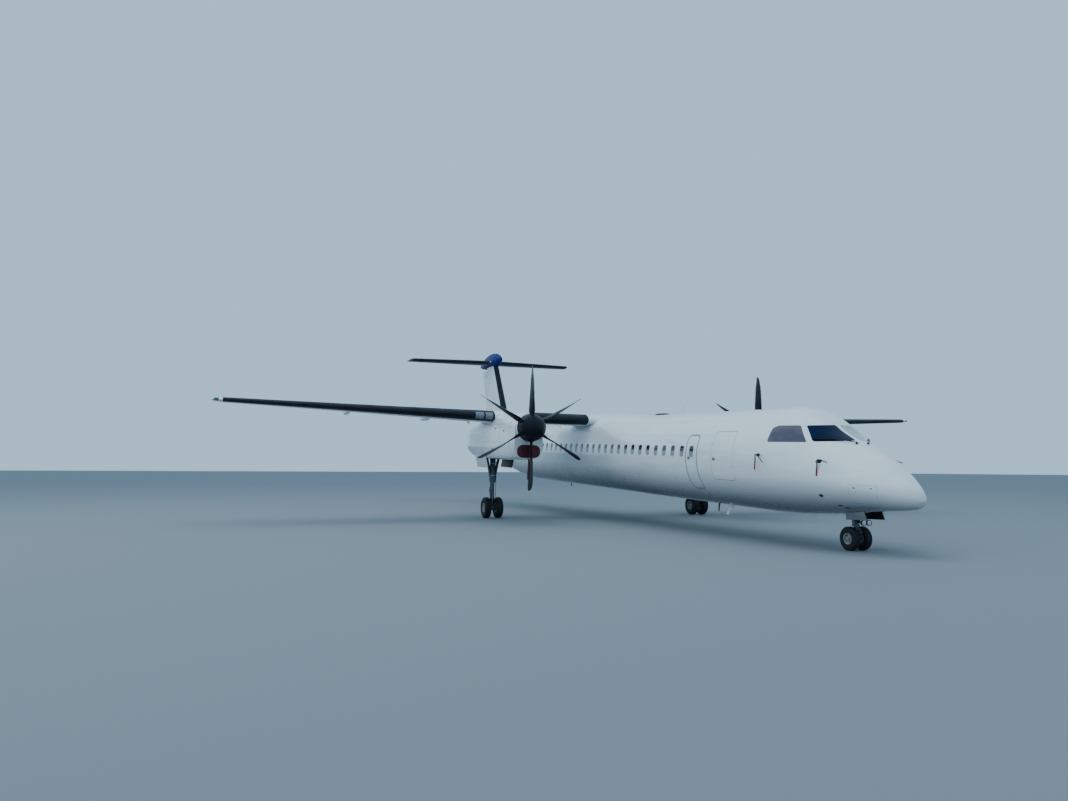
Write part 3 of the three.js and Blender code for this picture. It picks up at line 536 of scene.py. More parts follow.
def softened(corners, radius, grow=0.0):
    """A polygon's outline with its edges moved out and its corners made round."""
    count = len(corners)
    turn = sum(a[0] * b[1] - b[0] * a[1] for a, b in zip(corners, corners[1:] + corners[:1]))
    edges = []
    for i in range(count):
        a, b = Vector(corners[i]), Vector(corners[(i + 1) % count])
        run = (b - a).normalized()
        out = Vector((run.y, -run.x)) * math.copysign(grow, turn)
        edges.append((a + out, run))
    moved = []
    for i in range(count):
        (p, r), (q, s) = edges[i - 1], edges[i]
        moved.append(p + r * ((q - p).cross(s) / r.cross(s)))
    arcs = []
    for i in range(count):
        before, here, after = moved[i - 1], moved[i], moved[(i + 1) % count]
        start = here + (before - here).normalized() * radius
        end = here + (after - here).normalized() * radius
        shares = [k / 5 for k in range(6)]
        arcs.append([tuple(start * (1 - t) ** 2 + here * 2 * t * (1 - t) + end * t * t) for t in shares])
    return joined(arcs, 10)


def mirrored(outline, side):
    """An outline of the nose seen from the front, on one side."""
    return [(side * u, v) for u, v in outline]


# Laminated glass with a gold-tinted heater film: nearly black from outside, and mirror smooth.
windshield_glass = vary(
    material("coated_windshield_glass", "#060D18", 0.04, IOR=1.33, Specular_IOR_Level=0.2),
    ("#020A20", "#071B42"), 0.9, (1, 1, 2),
)
# The same glass with a pleated shade behind it, which shows a dusty rose grey.
shaded_glass = vary(
    material("shaded_side_glass", "#5A5363", 0.1, Coat_Weight=0.4, Coat_Roughness=0.03, IOR=1.5),
    ("#665B69", "#443F52"), 0.7, (0.6, 1, 2.4),
)
# The port windshield glass, painted pale silver grey, almost as pale as the frame: a painted
# reflection of the bright sky, which the pane catches at a glancing angle.
pale_reflection_glass = vary(
    material("windshield_glass_painted_reflection", "#98A5AE", 0.08, Coat_Weight=0.4, Coat_Roughness=0.03, IOR=1.5),
    ("#A3B0B9", "#8B99A3"), 0.5,
)
# Bedding sealant round the panes: black rubber, slightly shiny.
pane_seal = vary(material("black_pane_sealant", "#17191B", 0.5), ("#1D2022", "#101213"), 0.05)

# how deep the opening is, and how wide its sealant
PANE_DEPTH, PANE_SEAL = 0.014, 0.022
pane_cuts, seals = [], []
for hand, side in HANDS:
    views = (
        ("windshield", ahead_of(HULL), mirrored(WINDSHIELD, side),
         pale_reflection_glass if side > 0 else windshield_glass, "cockpit_glass"),
        ("side_window", SKIN_SIDES[side], SIDE_WINDOW, shaded_glass, "shaded_glass"),
    )
    for name, skin, corners, glass, slot in views:
        opening = softened(corners, 0.05)
        pane_cuts.append(patch_on(skin, opening, 0.1, -PANE_DEPTH - 0.012))
        pane = patch_on(skin, softened(corners, 0.04, -PANE_SEAL), -0.003, -0.02)
        piece(f"{name}_pane_{hand}", pane, glass, "airframe", slot, f"{name}_{hand}")
        outer, inner = softened(corners, 0.05, -0.001), softened(corners, 0.04, -PANE_SEAL - 0.001)
        seals.append(ring_on(skin, outer, inner, -0.004, -0.024))
piece("pane_seals", together(seals), pane_seal, "airframe", "tyre_rubber")

# Cabin windows: 250 by 360 mm acrylic panes set just below the skin, one to each frame bay,
# with a thin seal round them. Most show the dark cabin behind.
CABIN_WINDOW_PITCH = 0.513
# half width and corner radius, and the heights of the foot and the top
CABIN_WINDOW = (0.118, 0.075)
CABIN_WINDOW_HEIGHTS = (0.165 - 0.168, 0.165 + 0.168)
PORT_WINDOWS = [5.95 + CABIN_WINDOW_PITCH * k for k in range(31)]
STARBOARD_WINDOWS = [7.49 + CABIN_WINDOW_PITCH * k for k in range(28)]
EXIT_WINDOW = 6.96
# Stretched acrylic over a dim cabin, very smooth: deep blue grey, led over to pale grey
# in the lower half of each pane.
cabin_acrylic = led_over(vary(
    material("cabin_window_acrylic", "#070B12", 0.06, Coat_Weight=0.5, IOR=1.49),
    ("#0A101A", "#1A2533"), 0.6,
), "#93A0A8", 0.20, 0.13, 0.9)
window_cuts, window_panes, window_seals = [], [], []
for side, stations in ((1, PORT_WINDOWS), (-1, [EXIT_WINDOW, *STARBOARD_WINDOWS])):
    half_width, radius = CABIN_WINDOW
    for station in stations:
        edges = station - half_width, station + half_width, *CABIN_WINDOW_HEIGHTS, radius
        opening, pane = (grown_by(g, *edges, 4, 3) for g in (0, -0.012))
        if station != EXIT_WINDOW:
            window_cuts.append(patch_on(SKIN_SIDES[side], opening, 0.05, -0.014, 1))
        proud = 0.008 if station == EXIT_WINDOW else 0
        window_panes.append(patch_on(SKIN_SIDES[side], pane, proud - 0.006, -0.013, 3))
        window_seals.append(ring_on(SKIN_SIDES[side], opening, pane, proud - 0.004, -0.0135))
piece("cabin_window_panes", together(window_panes), cabin_acrylic, "airframe", "cockpit_glass")
piece("cabin_window_seals", together(window_seals), painted_joint, "airframe", "tyre_rubber")

# The skin with all its openings cut: doors, panes, windows and the bay of the nose gear.
bay_span, bay_half, bay_top = NOSE_BAY
nose_bay = prism("front", [
    (-bay_half, -1.5), (bay_half, -1.5), (bay_half, bay_top), (-bay_half, bay_top),
], *bay_span)
carve(fuselage, [
    (together(door_cuts), bay_enamel),
    (together(pane_cuts), pane_seal),
    (together(window_cuts), white_gloss),
    (nose_bay, bay_enamel),
])


def out_of(table, point):
    """Which way a lofted body's skin faces at a point of it."""
    local = Matrix.Rotation(NOSE_DOWN, 3, "Y").inverted() @ (point - spot(0, 0, 0))
    station, across, height = -local.x, local.y, local.z
    first, last = table[0][0] + 0.001, table[-1][0] - 0.001

    def slack(at):
        row = smooth_row(table, min(last, max(first, at)))
        rise = (row[1] if height >= row[4] else row[2]) - row[4]
        return row, rise, (across / row[3]) ** 2 + ((height - row[4]) / rise) ** 2

    row, rise, _ = slack(station)
    fore = (slack(station + 0.01)[2] - slack(station - 0.01)[2]) / 0.02
    side, up = 2 * across / row[3] ** 2, 2 * (height - row[4]) / rise ** 2
    return (TO_PORT * side + UPWARD * up - FORWARD * fore).normalized()


# least cosine between a cut skin's own normal and the whole curve's where it takes over
SMOOTH_ABOVE = 0.9


def shade_like(made, table):
    """Gives a cut skin the shading of the whole curve, so that no cut shows as a dent."""
    mesh = made.data
    smooth = [out_of(table, corner.co) for corner in mesh.vertices]
    normals = [loop.vector.copy() for loop in mesh.corner_normals]
    for polygon in mesh.polygons:
        if all(smooth[k].dot(polygon.normal) > SMOOTH_ABOVE for k in polygon.vertices):
            for corner, k in zip(polygon.loop_indices, polygon.vertices):
                normals[corner] = smooth[k]
    mesh.normals_split_custom_set(normals)


shade_like(fuselage, HULL)
fix(fuselage, "airframe", "airframe_paint", "fuselage")

# Radome: a honeycomb shell of glass fibre under the same white paint, screwed to the nose frame
# so that the weather radar behind it can look out.
piece("radome_shell", hull([*NOSE_RAMP, RADOME_END]), white_gloss, "airframe", "airframe_paint", "radome")

# Doors: pressed aluminium leaves that carry on the skin's curve, with a rubber seal in the
# gap. The stair door has its steps on the inside; each shut door has a flush handle.
DOOR_THICKNESS = 0.08
# The stair: first height above the sill, pitch, and each step's depth and slope on the shut door
STEP_FIRST, STEP_PITCH, STEP_DEPTH, STEP_SLOPE = 0.16, 0.285, 0.19, math.radians(120)
# how many steps, and the radius of the leaf's inner face
STEP_COUNT, LEAF_INSIDE = 5, 1.265
# A painted band round the emergency exit, in mid grey gloss.
exit_grey = vary(material("exit_band_grey", "#7C858C", 0.35), ("#838C93", "#737B82"), 0.3)
for name, side, front, rear, bottom, top, radius, gap, recess in DOORS:
    depth = DOOR_THICKNESS if recess else DOOR_SHUT_DEPTH
    edges = front, rear, bottom, top, radius
    shapes = [patch_on(SKIN_SIDES[side], rounded(*edges), 0.0, -depth, 12)]
    if name == "passenger_door":
        for k in range(STEP_COUNT):
            height = bottom + STEP_FIRST + STEP_PITCH * k
            rise = STEP_DEPTH * math.sin(STEP_SLOPE)
            foot, head = (math.sqrt(LEAF_INSIDE ** 2 - h * h) for h in (height, height + rise))
            tread = [
                (foot + 0.015, height), (foot + STEP_DEPTH * math.cos(STEP_SLOPE), height + rise),
                (head + 0.015, height + rise),
            ]
            shapes.append(prism("front", tread, front + 0.07, rear - 0.07))
    body = {"passenger_door": "stair_door", "forward_baggage_door": "baggage_door"}.get(name, "airframe")
    piece(f"{name}_leaf", together(shapes), white_gloss, body, "airframe_paint", name, sharp=30)
    frames = []
    if not recess:
        frames.append((f"{name}_seal", gap, 0, -0.004, -0.03, joint_sealant, "tyre_rubber"))
    if name == "emergency_exit":
        frames.append((f"{name}_band", 0.046, 0.012, 0.0012, -0.003, exit_grey, "airframe_paint"))
    for label, outer, inner, proud, sunk, finish, slot in frames:
        ring = ring_on(SKIN_SIDES[side], grown_by(outer, *edges), grown_by(inner, *edges), proud, sunk)
        piece(label, ring, finish, body, slot)
    handle = rounded(rear - 0.20, rear - 0.07, -0.06, 0.02, 0.02, 3)
    lid = patch_on(SKIN_SIDES[side], handle, 0.003, -0.01, 2)
    piece(f"{name}_handle", lid, joint_sealant, body, "gear_steel")

# Skin joints: rings of butt-jointed panels along the tube and long lap joints at four
# heights, sealed and painted over, so that they only just show.
RING_JOINTS = (8.1, 21.5, 24.0, 26.6, 29.2)
LAP_JOINTS, LAP_SPAN = (1.02, 0.62, -0.62, -1.02), (4.2, 21.5)
seams = []


def girth_line(table, skin, station, reach, pitch, proud):
    """A joint that runs down a body's flank at one station."""
    _, top, bottom, _, waist = smooth_row(table, station)
    turns = steps(-reach, reach, pitch)
    heights = [waist + (top - waist if a > 0 else waist - bottom) * math.sin(a) for a in turns]
    return line_on(skin, [(station, height) for height in heights], SEAM * 0.7, proud)


for skin in SKIN_SIDES.values():
    seams += [girth_line(HULL, skin, station, 1.45, 0.06, 0.0006) for station in RING_JOINTS]
    for height in LAP_JOINTS:
        path = between((LAP_SPAN[0], height), (LAP_SPAN[1], height), 40)
        seams.append(line_on(skin, path, SEAM * 0.6, 0.0006))
piece("skin_joints", together(seams), painted_joint, "airframe", "gear_steel")

# Wing: a two-spar box of aluminium with skins milled from plate, white above and below.
# y, leading edge station, leading edge height, chord, thickness ratio
WING = [
    (0.000, 14.120, 1.195, 2.660, 0.18),
    (4.900, 14.150, 1.240, 2.660, 0.18),
    (13.950, 14.445, 1.550, 1.340, 0.13),
    (14.210, 14.520, 1.562, 1.120, 0.08),
]
# where the outer wing begins, and the share of the chord that the flaps leave to the box
WING_SPLIT, WING_CUT = 4.4, 0.70
INCIDENCE = math.radians(2)
CAMBER = 0.02


def straight_row(table, key):
    """A table's row at any value of its first column, straight between two rows."""
    above = next((n for n, row in enumerate(table) if row[0] >= key), len(table) - 1)
    i = max(0, min(len(table) - 2, above - 1))
    t = (key - table[i][0]) / (table[i + 1][0] - table[i][0])
    return [a + t * (b - a) for a, b in zip(table[i], table[i + 1])]


def foil_at(x, thickness, camber):
    """Half thickness and middle line of a wing section, as fractions of the chord."""
    full = 0.2969 * math.sqrt(x) - 0.126 * x - 0.3516 * x ** 2 + 0.2843 * x ** 3 - 0.1036 * x ** 4
    return max(5 * thickness * full, 0.002), 4 * camber * x * (1 - x)


def foil(chord, thickness, start, end, camber=CAMBER, nose=1.0):
    """Outline of a wing section between two fractions of its chord, as [distance, rise]."""
    def edge(x, sign):
        half, line = foil_at(x, thickness, camber)
        return x * chord, chord * (line + sign * half)

    if start == 0:
        spread = [(1 - math.cos(math.pi * k / 36)) * end for k in range(18, 0, -1)]
        front = [(0.0, 0.0)]
    else:
        spread = [start + (end - start) * (1 - k / 6) for k in range(7)]
        half, line = (n * chord for n in foil_at(start, thickness, camber))
        turns = [n * math.pi / 8 for n in range(1, 8)]
        front = [(start * chord - nose * half * math.sin(a), line + half * math.cos(a)) for a in turns]
    return [edge(x, 1) for x in spread] + front + [edge(x, -1) for x in reversed(spread)]


def wing_spot(y, distance, rise):
    """A point of the wing from its distance behind the leading edge and its rise."""
    _, station, height, _, _ = straight_row(WING, abs(y))
    c, s = math.cos(INCIDENCE), math.sin(INCIDENCE)
    return spot(station + distance * c + rise * s, y, height + rise * c - distance * s)


def wing_loft(ys, start, end, nose=1.0):
    """A length of the wing between two fractions of its chord."""
    rings = []
    for y in ys:
        _, _, _, chord, thickness = straight_row(WING, abs(y))
        rings.append([wing_spot(y, x, z) for x, z in foil(chord, thickness, start, end, nose=nose)])
    return loft(rings)


def boot_section(chord, thickness, reach, camber=CAMBER, proud=0.0025):
    """A de-icing boot's section: the nose of the foil, with its own thickness outside."""
    spread = [reach * (k / 8) ** 2 for k in range(8, 0, -1)]

    def edge(x, sign, out):
        half, line = foil_at(x, thickness, camber)
        back, rise = x * chord - out * max(0.0, 1 - x / reach), sign * out * min(1.0, x / reach * 3)
        return back, chord * (line + sign * half) + rise

    upper, lower = [edge(x, 1, proud) for x in spread], [edge(x, -1, proud) for x in reversed(spread)]
    within = [edge(x, -1, -0.004) for x in spread] + [(0.004, 0.0)]
    within += [edge(x, 1, -0.004) for x in reversed(spread)]
    return upper + [(-proud, 0.0)] + lower + within


def boot_on(spot_at, table, ys, reach, camber=CAMBER, proud=0.0025):
    """A thin skin stretched over a wing's leading edge."""
    rings = []
    for y in ys:
        _, _, _, chord, thickness = straight_row(table, abs(y))
        rings.append([spot_at(y, x, z) for x, z in boot_section(chord, thickness, reach, camber, proud)])
    return loft(rings)


def circle(middle, radius, aside, other, sides):
    """Points round a middle, in the plane of two directions."""
    turns = [2 * math.pi * k / sides for k in range(sides)]
    return [middle + radius * (aside * math.cos(a) + other * math.sin(a)) for a in turns]


# Neoprene de-icing boots: black with a blue tint, a painted reflection of the sky; matt, with
# the inflated tubes showing as faint ridges that run along the span 32 mm apart.
neoprene_boot = vary(
    material("neoprene_boot", "#090E19", 0.5, Specular_IOR_Level=0.35), ("#0C1220", "#070A13"), 0.25,
    (1, 0.4, 1), (0.4, 0.6), 0.0006,
)
# name, inner and outer y, start and roundness of its nose as shares, places of the hinge fairings
FLAPS = (
    ("flap_inner", 1.50, 3.69, 0.732, 0.3, [2.6]), ("flap_outer", 5.11, 10.06, 0.732, 0.3, [7.0, 9.85]),
    ("aileron", 10.13, 13.86, 0.755, 1, []),
)
# shares of the chord and spans that the boots cover
BOOT_REACH, BOOT_SPANS = 0.11, ((1.30, 3.72), (4.90, 13.88))
centre_ys = steps(-WING_SPLIT, WING_SPLIT, 0.4)
piece(
    "wing_centre_skin", wing_loft(centre_ys, 0, WING_CUT), white_gloss, "airframe", "airframe_paint",
    "wing_center",
)
# distance aft of the box, half width and depth of a flap hinge's fairing, ahead of and on the flap
CANOE_FRONT = [(-0.62, 0, 0), (-0.56, 0.035, 0.04), (-0.35, 0.07, 0.085), (0, 0.08, 0.105)]
CANOE_REAR = [(0, 0.08, 0.105), (0.35, 0.075, 0.1), (0.7, 0.05, 0.08), (0.98, 0.022, 0.045), (1.05, 0, 0.02)]


def canoe(rows, y, shift):
    """A flap hinge's fairing: a slim boat hung under the wing."""
    _, _, _, chord, thickness = straight_row(WING, abs(y))
    half, line = (n * chord for n in foil_at(WING_CUT, thickness, CAMBER))
    local = wing_spot(y, (WING_CUT + 0.02) * chord, line - half) - spot(0, 0, 0)
    station, top = -local.dot(FORWARD), local.dot(UPWARD)
    rings = []
    for k in range(17):
        key = rows[0][0] + (rows[-1][0] - rows[0][0]) * k / 16
        distance, width, depth = smooth_row(rows, key)
        row = (station + distance + shift, top + 0.06, top - depth, max(width, 0.001), top - depth * 0.4)
        rings.append(hoop(row, 28, y))
    return loft(rings)


for hand, side in HANDS:
    box = wing_loft([side * y for y in (WING_SPLIT + 0.0003, *steps(4.9, 13.95, 0.45))], 0, WING_CUT)
    tip = wing_loft([side * y for y in (13.9, 13.95, 14.02, 14.08, 14.13, 14.17, 14.21)], 0, 1)
    shapes = [box, tip, *[canoe(CANOE_FRONT, side * y, -0.008) for y in FLAPS[1][5]]]
    pad_top = wing_spot(side * 5.7, 0.62, -0.15)
    pad = circle(pad_top, 0.045, TO_PORT, FORWARD, 24)
    shapes.append(loft([pad, [corner - UPWARD * 0.12 for corner in pad]]))
    outer_wing = together(shapes)
    piece(f"wing_skin_{hand}", outer_wing, white_gloss, "airframe", "airframe_paint", f"wing_outer_{hand}")
    for name, inner, outer, start, nose, hinges in FLAPS:
        leaf = wing_loft([side * y for y in steps(inner, outer, 0.5)], start, 1, nose)
        leaf = together([leaf, *[canoe(CANOE_REAR, side * y, 0) for y in hinges]])
        node = f"{name}_{hand}"
        piece(f"{name}_skin_{hand}", leaf, white_gloss, node, "airframe_paint", node)
    boots = [
        boot_on(wing_spot, WING, [side * y for y in steps(*span, 0.45)], BOOT_REACH) for span in BOOT_SPANS
    ]
    piece(f"wing_boots_{hand}", together(boots), neoprene_boot, "airframe", "tyre_rubber")

# Boot plates: two bare warning plates on each side, cut from thin rubber sheet and glued round
# the inner end of the outer boot.
PLATE_SPANS = ((4.98, 5.24), (5.30, 5.60))
plate_rubber = vary(material("grey_rubber_plate", "#6C7780", 0.6), ("#77838C", "#5A656E"), 0.05)
for hand, side in HANDS:
    plates = [
        boot_on(wing_spot, WING, [side * y for y in steps(*span, 0.1)], 0.035, proud=0.006)
        for span in PLATE_SPANS
    ]
    piece(f"boot_plates_{hand}", together(plates), plate_rubber, "airframe", "tyre_rubber")

# Wing to fuselage fairing: glass fibre panels over the spars and the flap drives, blended
# into the crown and down the sides of the cabin.
# station, top and half width
SADDLE = [
    (11.70, 1.335, 1.335), (13.00, 1.420, 1.395), (14.20, 1.500, 1.462),
    (16.90, 1.495, 1.462), (18.20, 1.425, 1.400), (19.60, 1.335, 1.335),
]
# station and height of the fairing's lower edge, where it runs out into the cabin's skin
SADDLE_EDGE = [(11.50, 1.20), (12.70, 0.70), (14.10, 0.37), (17.10, 0.37), (18.50, 0.70), (19.70, 1.20)]
SADDLE_POWER, SADDLE_BLEND = 2.15, 0.42
CABIN_RADIUS = 1.345


def saddle_ring(station):
    """The fairing's section: a shell that grows out of the cabin's round and covers the crown."""
    _, top, half = smooth_row(SADDLE, station)
    first = math.asin(straight_row(SADDLE_EDGE, station)[1] / CABIN_RADIUS)
    outer, inner = [], []
    for angle in steps(first, math.pi - first, (math.pi - 2 * first) / 72):
        c, s = abs(math.cos(angle)), math.sin(angle)
        full = ((c / half) ** SADDLE_POWER + (s / top) ** SADDLE_POWER) ** (-1 / SADDLE_POWER)
        t = min(1.0, min(angle - first, math.pi - first - angle) / SADDLE_BLEND)
        radius = CABIN_RADIUS - 0.004 + (full - CABIN_RADIUS + 0.004) * t * t * (3 - 2 * t)
        outer.append(spot(station, radius * math.cos(angle), radius * s))
        inner.append(spot(station, (CABIN_RADIUS - 0.03) * math.cos(angle), (CABIN_RADIUS - 0.03) * s))
    return outer + inner[::-1]


saddle = loft([saddle_ring(station) for station in steps(11.7, 19.6, 0.1)])
piece("wing_root_fairing", saddle, white_gloss, "airframe", "airframe_paint", "wing_fuselage_fairing")

# Nacelles: long cowls of composite and aluminium under the wing. The intake under the
# spinner feeds the engine, and the gear hangs from the bay behind.
NACELLE_Y = 4.4
# station, top, bottom, half width, height of the widest point
NACELLE = [
    (12.020, 1.300, -0.195, 0.490, 0.700), (12.350, 1.345, -0.232, 0.555, 0.640),
    (13.000, 1.378, -0.262, 0.620, 0.560), (13.900, 1.385, -0.278, 0.652, 0.520),
    (15.000, 1.370, -0.282, 0.655, 0.500), (16.100, 1.260, -0.275, 0.650, 0.490),
    (16.900, 1.165, -0.225, 0.625, 0.490), (17.700, 1.070, -0.060, 0.530, 0.530),
    (18.400, 0.970, 0.210, 0.380, 0.610), (18.850, 0.890, 0.450, 0.220, 0.690),
    (19.050, 0.800, 0.620, 0.080, 0.715),
]
# how square the section is above and below its widest point
NACELLE_POWERS = (2.2, 4.2)
# half width, bottom, top, corner radius and depth of the intake's mouth
INTAKE = (0.40, -0.165, 0.255, 0.19, 0.26)
GEAR_BAY, GEAR_DOORS = (15.33, 16.56), (15.02, 16.36)
# Black inside the gear doors and their bays, and dull: painted shade for the shadow in them.
painted_shade_black = vary(material("bay_door_painted_shade", "#191C20", 0.5), ("#20242A", "#121417"), 0.2)
for hand, side in HANDS:
    y = side * NACELLE_Y
    cowl = make(f"nacelle_cowl_{hand}", loft([
        hoop(smooth_row(NACELLE, s), 112, y, powers=NACELLE_POWERS) for s in steps(12.02, 19.05, 0.09)
    ]), white_gloss)
    half, low, high, radius, depth = INTAKE
    duct = prism("front", rounded(y - half, y + half, low, high, radius, 8), 11.9, 12.02 + depth)
    bay = prism("front", [(y - 0.4, -0.5), (y + 0.4, -0.5), (y + 0.4, 0.15), (y - 0.4, 0.15)], *GEAR_BAY)
    # The walls of the gear bay are black: painted shade.
    carve(cowl, [(duct, bay_enamel), (bay, painted_shade_black)])
    fix(cowl, "airframe", "airframe_paint", f"nacelle_{hand}")
    # The doors' linings are black: painted shade on their inner faces.
    for name, outer, inner, finish, slot in (
        ("skins", 0, 0.012, white_gloss, "airframe_paint"),
        ("linings", 0.011, 0.024, painted_shade_black, "door_dark"),
    ):
        plate = [(0.59 - outer, -0.06), (0.59 - inner, -0.06), (0.47 - inner, -0.60), (0.47 - outer, -0.60)]
        doors = [
            prism("front", [(y + edge * offset, height) for offset, height in plate], *GEAR_DOORS)
            for edge in (-1, 1)
        ]
        piece(f"main_gear_door_{name}_{hand}", together(doors), finish, "airframe", slot)

# Fasteners, bolts and wicks: each row or ring of them is set out by a small tree from loose
# points that know which way they look and which way they lie.
def group_of(name, inputs):
    """A geometry tree with named inputs, and its two end nodes."""
    tree = bpy.data.node_groups.new(name, "GeometryNodeTree")
    sockets = {"Geometry": "NodeSocketGeometry"} | inputs | {"Finish": "NodeSocketMaterial"}
    for label, kind in sockets.items():
        tree.interface.new_socket(label, in_out="INPUT", socket_type=kind)
    tree.interface.new_socket("Geometry", in_out="OUTPUT", socket_type="NodeSocketGeometry")
    return tree, add(tree, "NodeGroupInput").outputs, add(tree, "NodeGroupOutput")


def ending(tree, shapes, finish, end):
    """Every tree ends by making its copies real and giving them their finish."""
    real = add(tree, "GeometryNodeRealizeInstances", [("Geometry", shapes)])
    coated = add(
        tree, "GeometryNodeSetMaterial", [("Geometry", real.outputs["Geometry"]), ("Material", finish)],
    )
    tree.links.new(coated.outputs["Geometry"], end.inputs["Geometry"])


def grown(made, tree, values, sharp):
    """The object after its tree, as plain mesh."""
    living = made.modifiers.new(tree.name, "NODES")
    living.node_group = tree
    for item in tree.interface.items_tree:
        if item.in_out == "INPUT" and item.name in values:
            living[item.identifier] = values[item.name]
    plain(made)
    shade(made.data, sharp)
    return made


SET_OUT, given, end = group_of("set_out_along_rows", {
    "Length": "NodeSocketFloat", "Width": "NodeSocketFloat", "Height": "NodeSocketFloat",
    "Taper": "NodeSocketFloat", "Sides": "NodeSocketInt",
})
foot = add(SET_OUT, "ShaderNodeMath", [(0, given["Length"]), (1, 0.5)], operation="MULTIPLY").outputs[0]
head = add(SET_OUT, "ShaderNodeMath", [(0, foot), (1, given["Taper"])], operation="MULTIPLY").outputs[0]
narrow = add(
    SET_OUT, "ShaderNodeMath", [(0, given["Width"]), (1, given["Length"])], operation="DIVIDE",
).outputs[0]
stud = add(SET_OUT, "GeometryNodeMeshCone", [
    ("Vertices", given["Sides"]), ("Radius Top", head), ("Radius Bottom", foot), ("Depth", given["Height"]),
])
flattened = add(SET_OUT, "ShaderNodeCombineXYZ", [("X", 1.0), ("Y", narrow), ("Z", 1.0)])
stud = add(SET_OUT, "GeometryNodeTransform", [
    ("Geometry", stud.outputs["Mesh"]), ("Scale", flattened.outputs["Vector"]),
])
out = add(SET_OUT, "GeometryNodeInputNamedAttribute", [("Name", "out")], data_type="FLOAT_VECTOR")
lie = add(SET_OUT, "GeometryNodeInputNamedAttribute", [("Name", "along")], data_type="FLOAT_VECTOR")
stood = add(SET_OUT, "FunctionNodeAlignRotationToVector", [("Vector", out.outputs["Attribute"])], axis="Z")
turned_to = add(SET_OUT, "FunctionNodeAlignRotationToVector", [
    ("Rotation", stood.outputs["Rotation"]), ("Vector", lie.outputs["Attribute"]),
], axis="X", pivot_axis="Z")
points = add(SET_OUT, "GeometryNodeMeshToPoints", [("Mesh", given["Geometry"])])
copies = add(SET_OUT, "GeometryNodeInstanceOnPoints", [
    ("Points", points.outputs["Points"]), ("Instance", stud.outputs["Geometry"]),
    ("Rotation", turned_to.outputs["Rotation"]),
])
ending(SET_OUT, copies.outputs["Instances"], given["Finish"], end)


def set_out(name, places, finish, length, height, width=None, taper=1.0, sides=8):
    """Like small pieces at places, each a point with the way it looks and the way it lies."""
    mesh = bpy.data.meshes.new(name)
    mesh.from_pydata([place[0] for place in places], [], [])
    for label, column in (("out", 1), ("along", 2)):
        held = mesh.attributes.new(label, "FLOAT_VECTOR", "POINT")
        held.data.foreach_set("vector", [number for place in places for number in place[column]])
    made = bpy.data.objects.new(name, mesh)
    bpy.context.scene.collection.objects.link(made)
    return grown(made, SET_OUT, {
        "Length": float(length), "Width": float(width or length), "Height": float(height),
        "Taper": float(taper), "Sides": sides, "Finish": finish,
    }, 35)


def seat(skin, u, v, proud):
    """A place on a skin for set_out, lying along the skin's first direction."""
    here = skin(u, v)
    return skin(u, v, proud), (skin(u, v, 1.0) - here).normalized(), (skin(u + 0.01, v) - here).normalized()


ROUND_SHAFT, given, end = group_of("turned_round_a_shaft", {
    "Count": "NodeSocketInt", "Centre": "NodeSocketVector", "Axis": "NodeSocketVector",
})
homeward = add(
    ROUND_SHAFT, "ShaderNodeVectorMath", [(0, given["Centre"]), ("Scale", -1.0)], operation="SCALE",
)
homed = add(ROUND_SHAFT, "GeometryNodeTransform", [
    ("Geometry", given["Geometry"]), ("Translation", homeward.outputs["Vector"]),
])
hubs = add(ROUND_SHAFT, "GeometryNodePoints", [("Count", given["Count"]), ("Position", given["Centre"])])
number = add(ROUND_SHAFT, "GeometryNodeInputIndex").outputs["Index"]
share = add(ROUND_SHAFT, "ShaderNodeMath", [(0, number), (1, given["Count"])], operation="DIVIDE").outputs[0]
turn = add(ROUND_SHAFT, "ShaderNodeMath", [(0, share), (1, 2 * math.pi)], operation="MULTIPLY").outputs[0]
spun = add(ROUND_SHAFT, "FunctionNodeAxisAngleToRotation", [("Axis", given["Axis"]), ("Angle", turn)])
copies = add(
    ROUND_SHAFT, "GeometryNodeInstanceOnPoints",
    [
        ("Points", hubs.outputs["Points"]), ("Instance", homed.outputs["Geometry"]),
        ("Rotation", spun.outputs["Rotation"]),
    ],
)
ending(ROUND_SHAFT, copies.outputs["Instances"], given["Finish"], end)


def turned_round(made, finish, count, centre, axis, sharp=35):
    """A piece and its like copies, evenly turned about a shaft."""
    return grown(made, ROUND_SHAFT, {
        "Count": count, "Centre": tuple(centre), "Axis": tuple(axis), "Finish": finish,
    }, sharp)


def bar(start, end, radius, sides=24):
    """A round bar from one point to another."""
    run = (end - start).normalized()
    aside = run.orthogonal().normalized()
    return loft([circle(place, radius, aside, run.cross(aside), sides) for place in (start, end)])


def pipe(path, radius):
    """A bent pipe along points."""
    rings = []
    aside = (path[1] - path[0]).orthogonal().normalized()
    for i, place in enumerate(path):
        run = (path[min(i + 1, len(path) - 1)] - path[max(i - 1, 0)]).normalized()
        aside = (aside - run * aside.dot(run)).normalized()
        rings.append(circle(place, radius, aside, run.cross(aside), 10))
    return loft(rings)


def turned(centre, axis, profile, sides=48):
    """A shape turned about an axis, from pairs of a distance along it and a radius."""
    aside = axis.orthogonal().normalized()
    rings = []
    for distance, radius in profile:
        middle = centre + axis * distance
        rings.append(circle(middle, radius, aside, axis.cross(aside), sides) if radius else [middle])
    return loft(rings)


# Cadmium plated steel screws and bolts: dull silver, a little darker in the slots.
plated_steel = material("cadmium_plated_steel", "#A9ACAA", 0.42, 0.75)
# The screws of the radome's rim, set flush.
flush = []
for k in range(40):
    turn = 2 * math.pi * k / 40
    row = smooth_row(HULL, RADOME_END + 0.03)
    rise = row[1] - row[4] if math.sin(turn) > 0 else row[4] - row[2]
    place = spot(row[0], row[3] * math.cos(turn), row[4] + rise * math.sin(turn))
    outward = out_of(HULL, place)
    flush.append((place - outward * 0.0015, outward, FORWARD))
fix(set_out("radome_screws", flush, plated_steel, 0.012, 0.002), "airframe", "gear_steel")

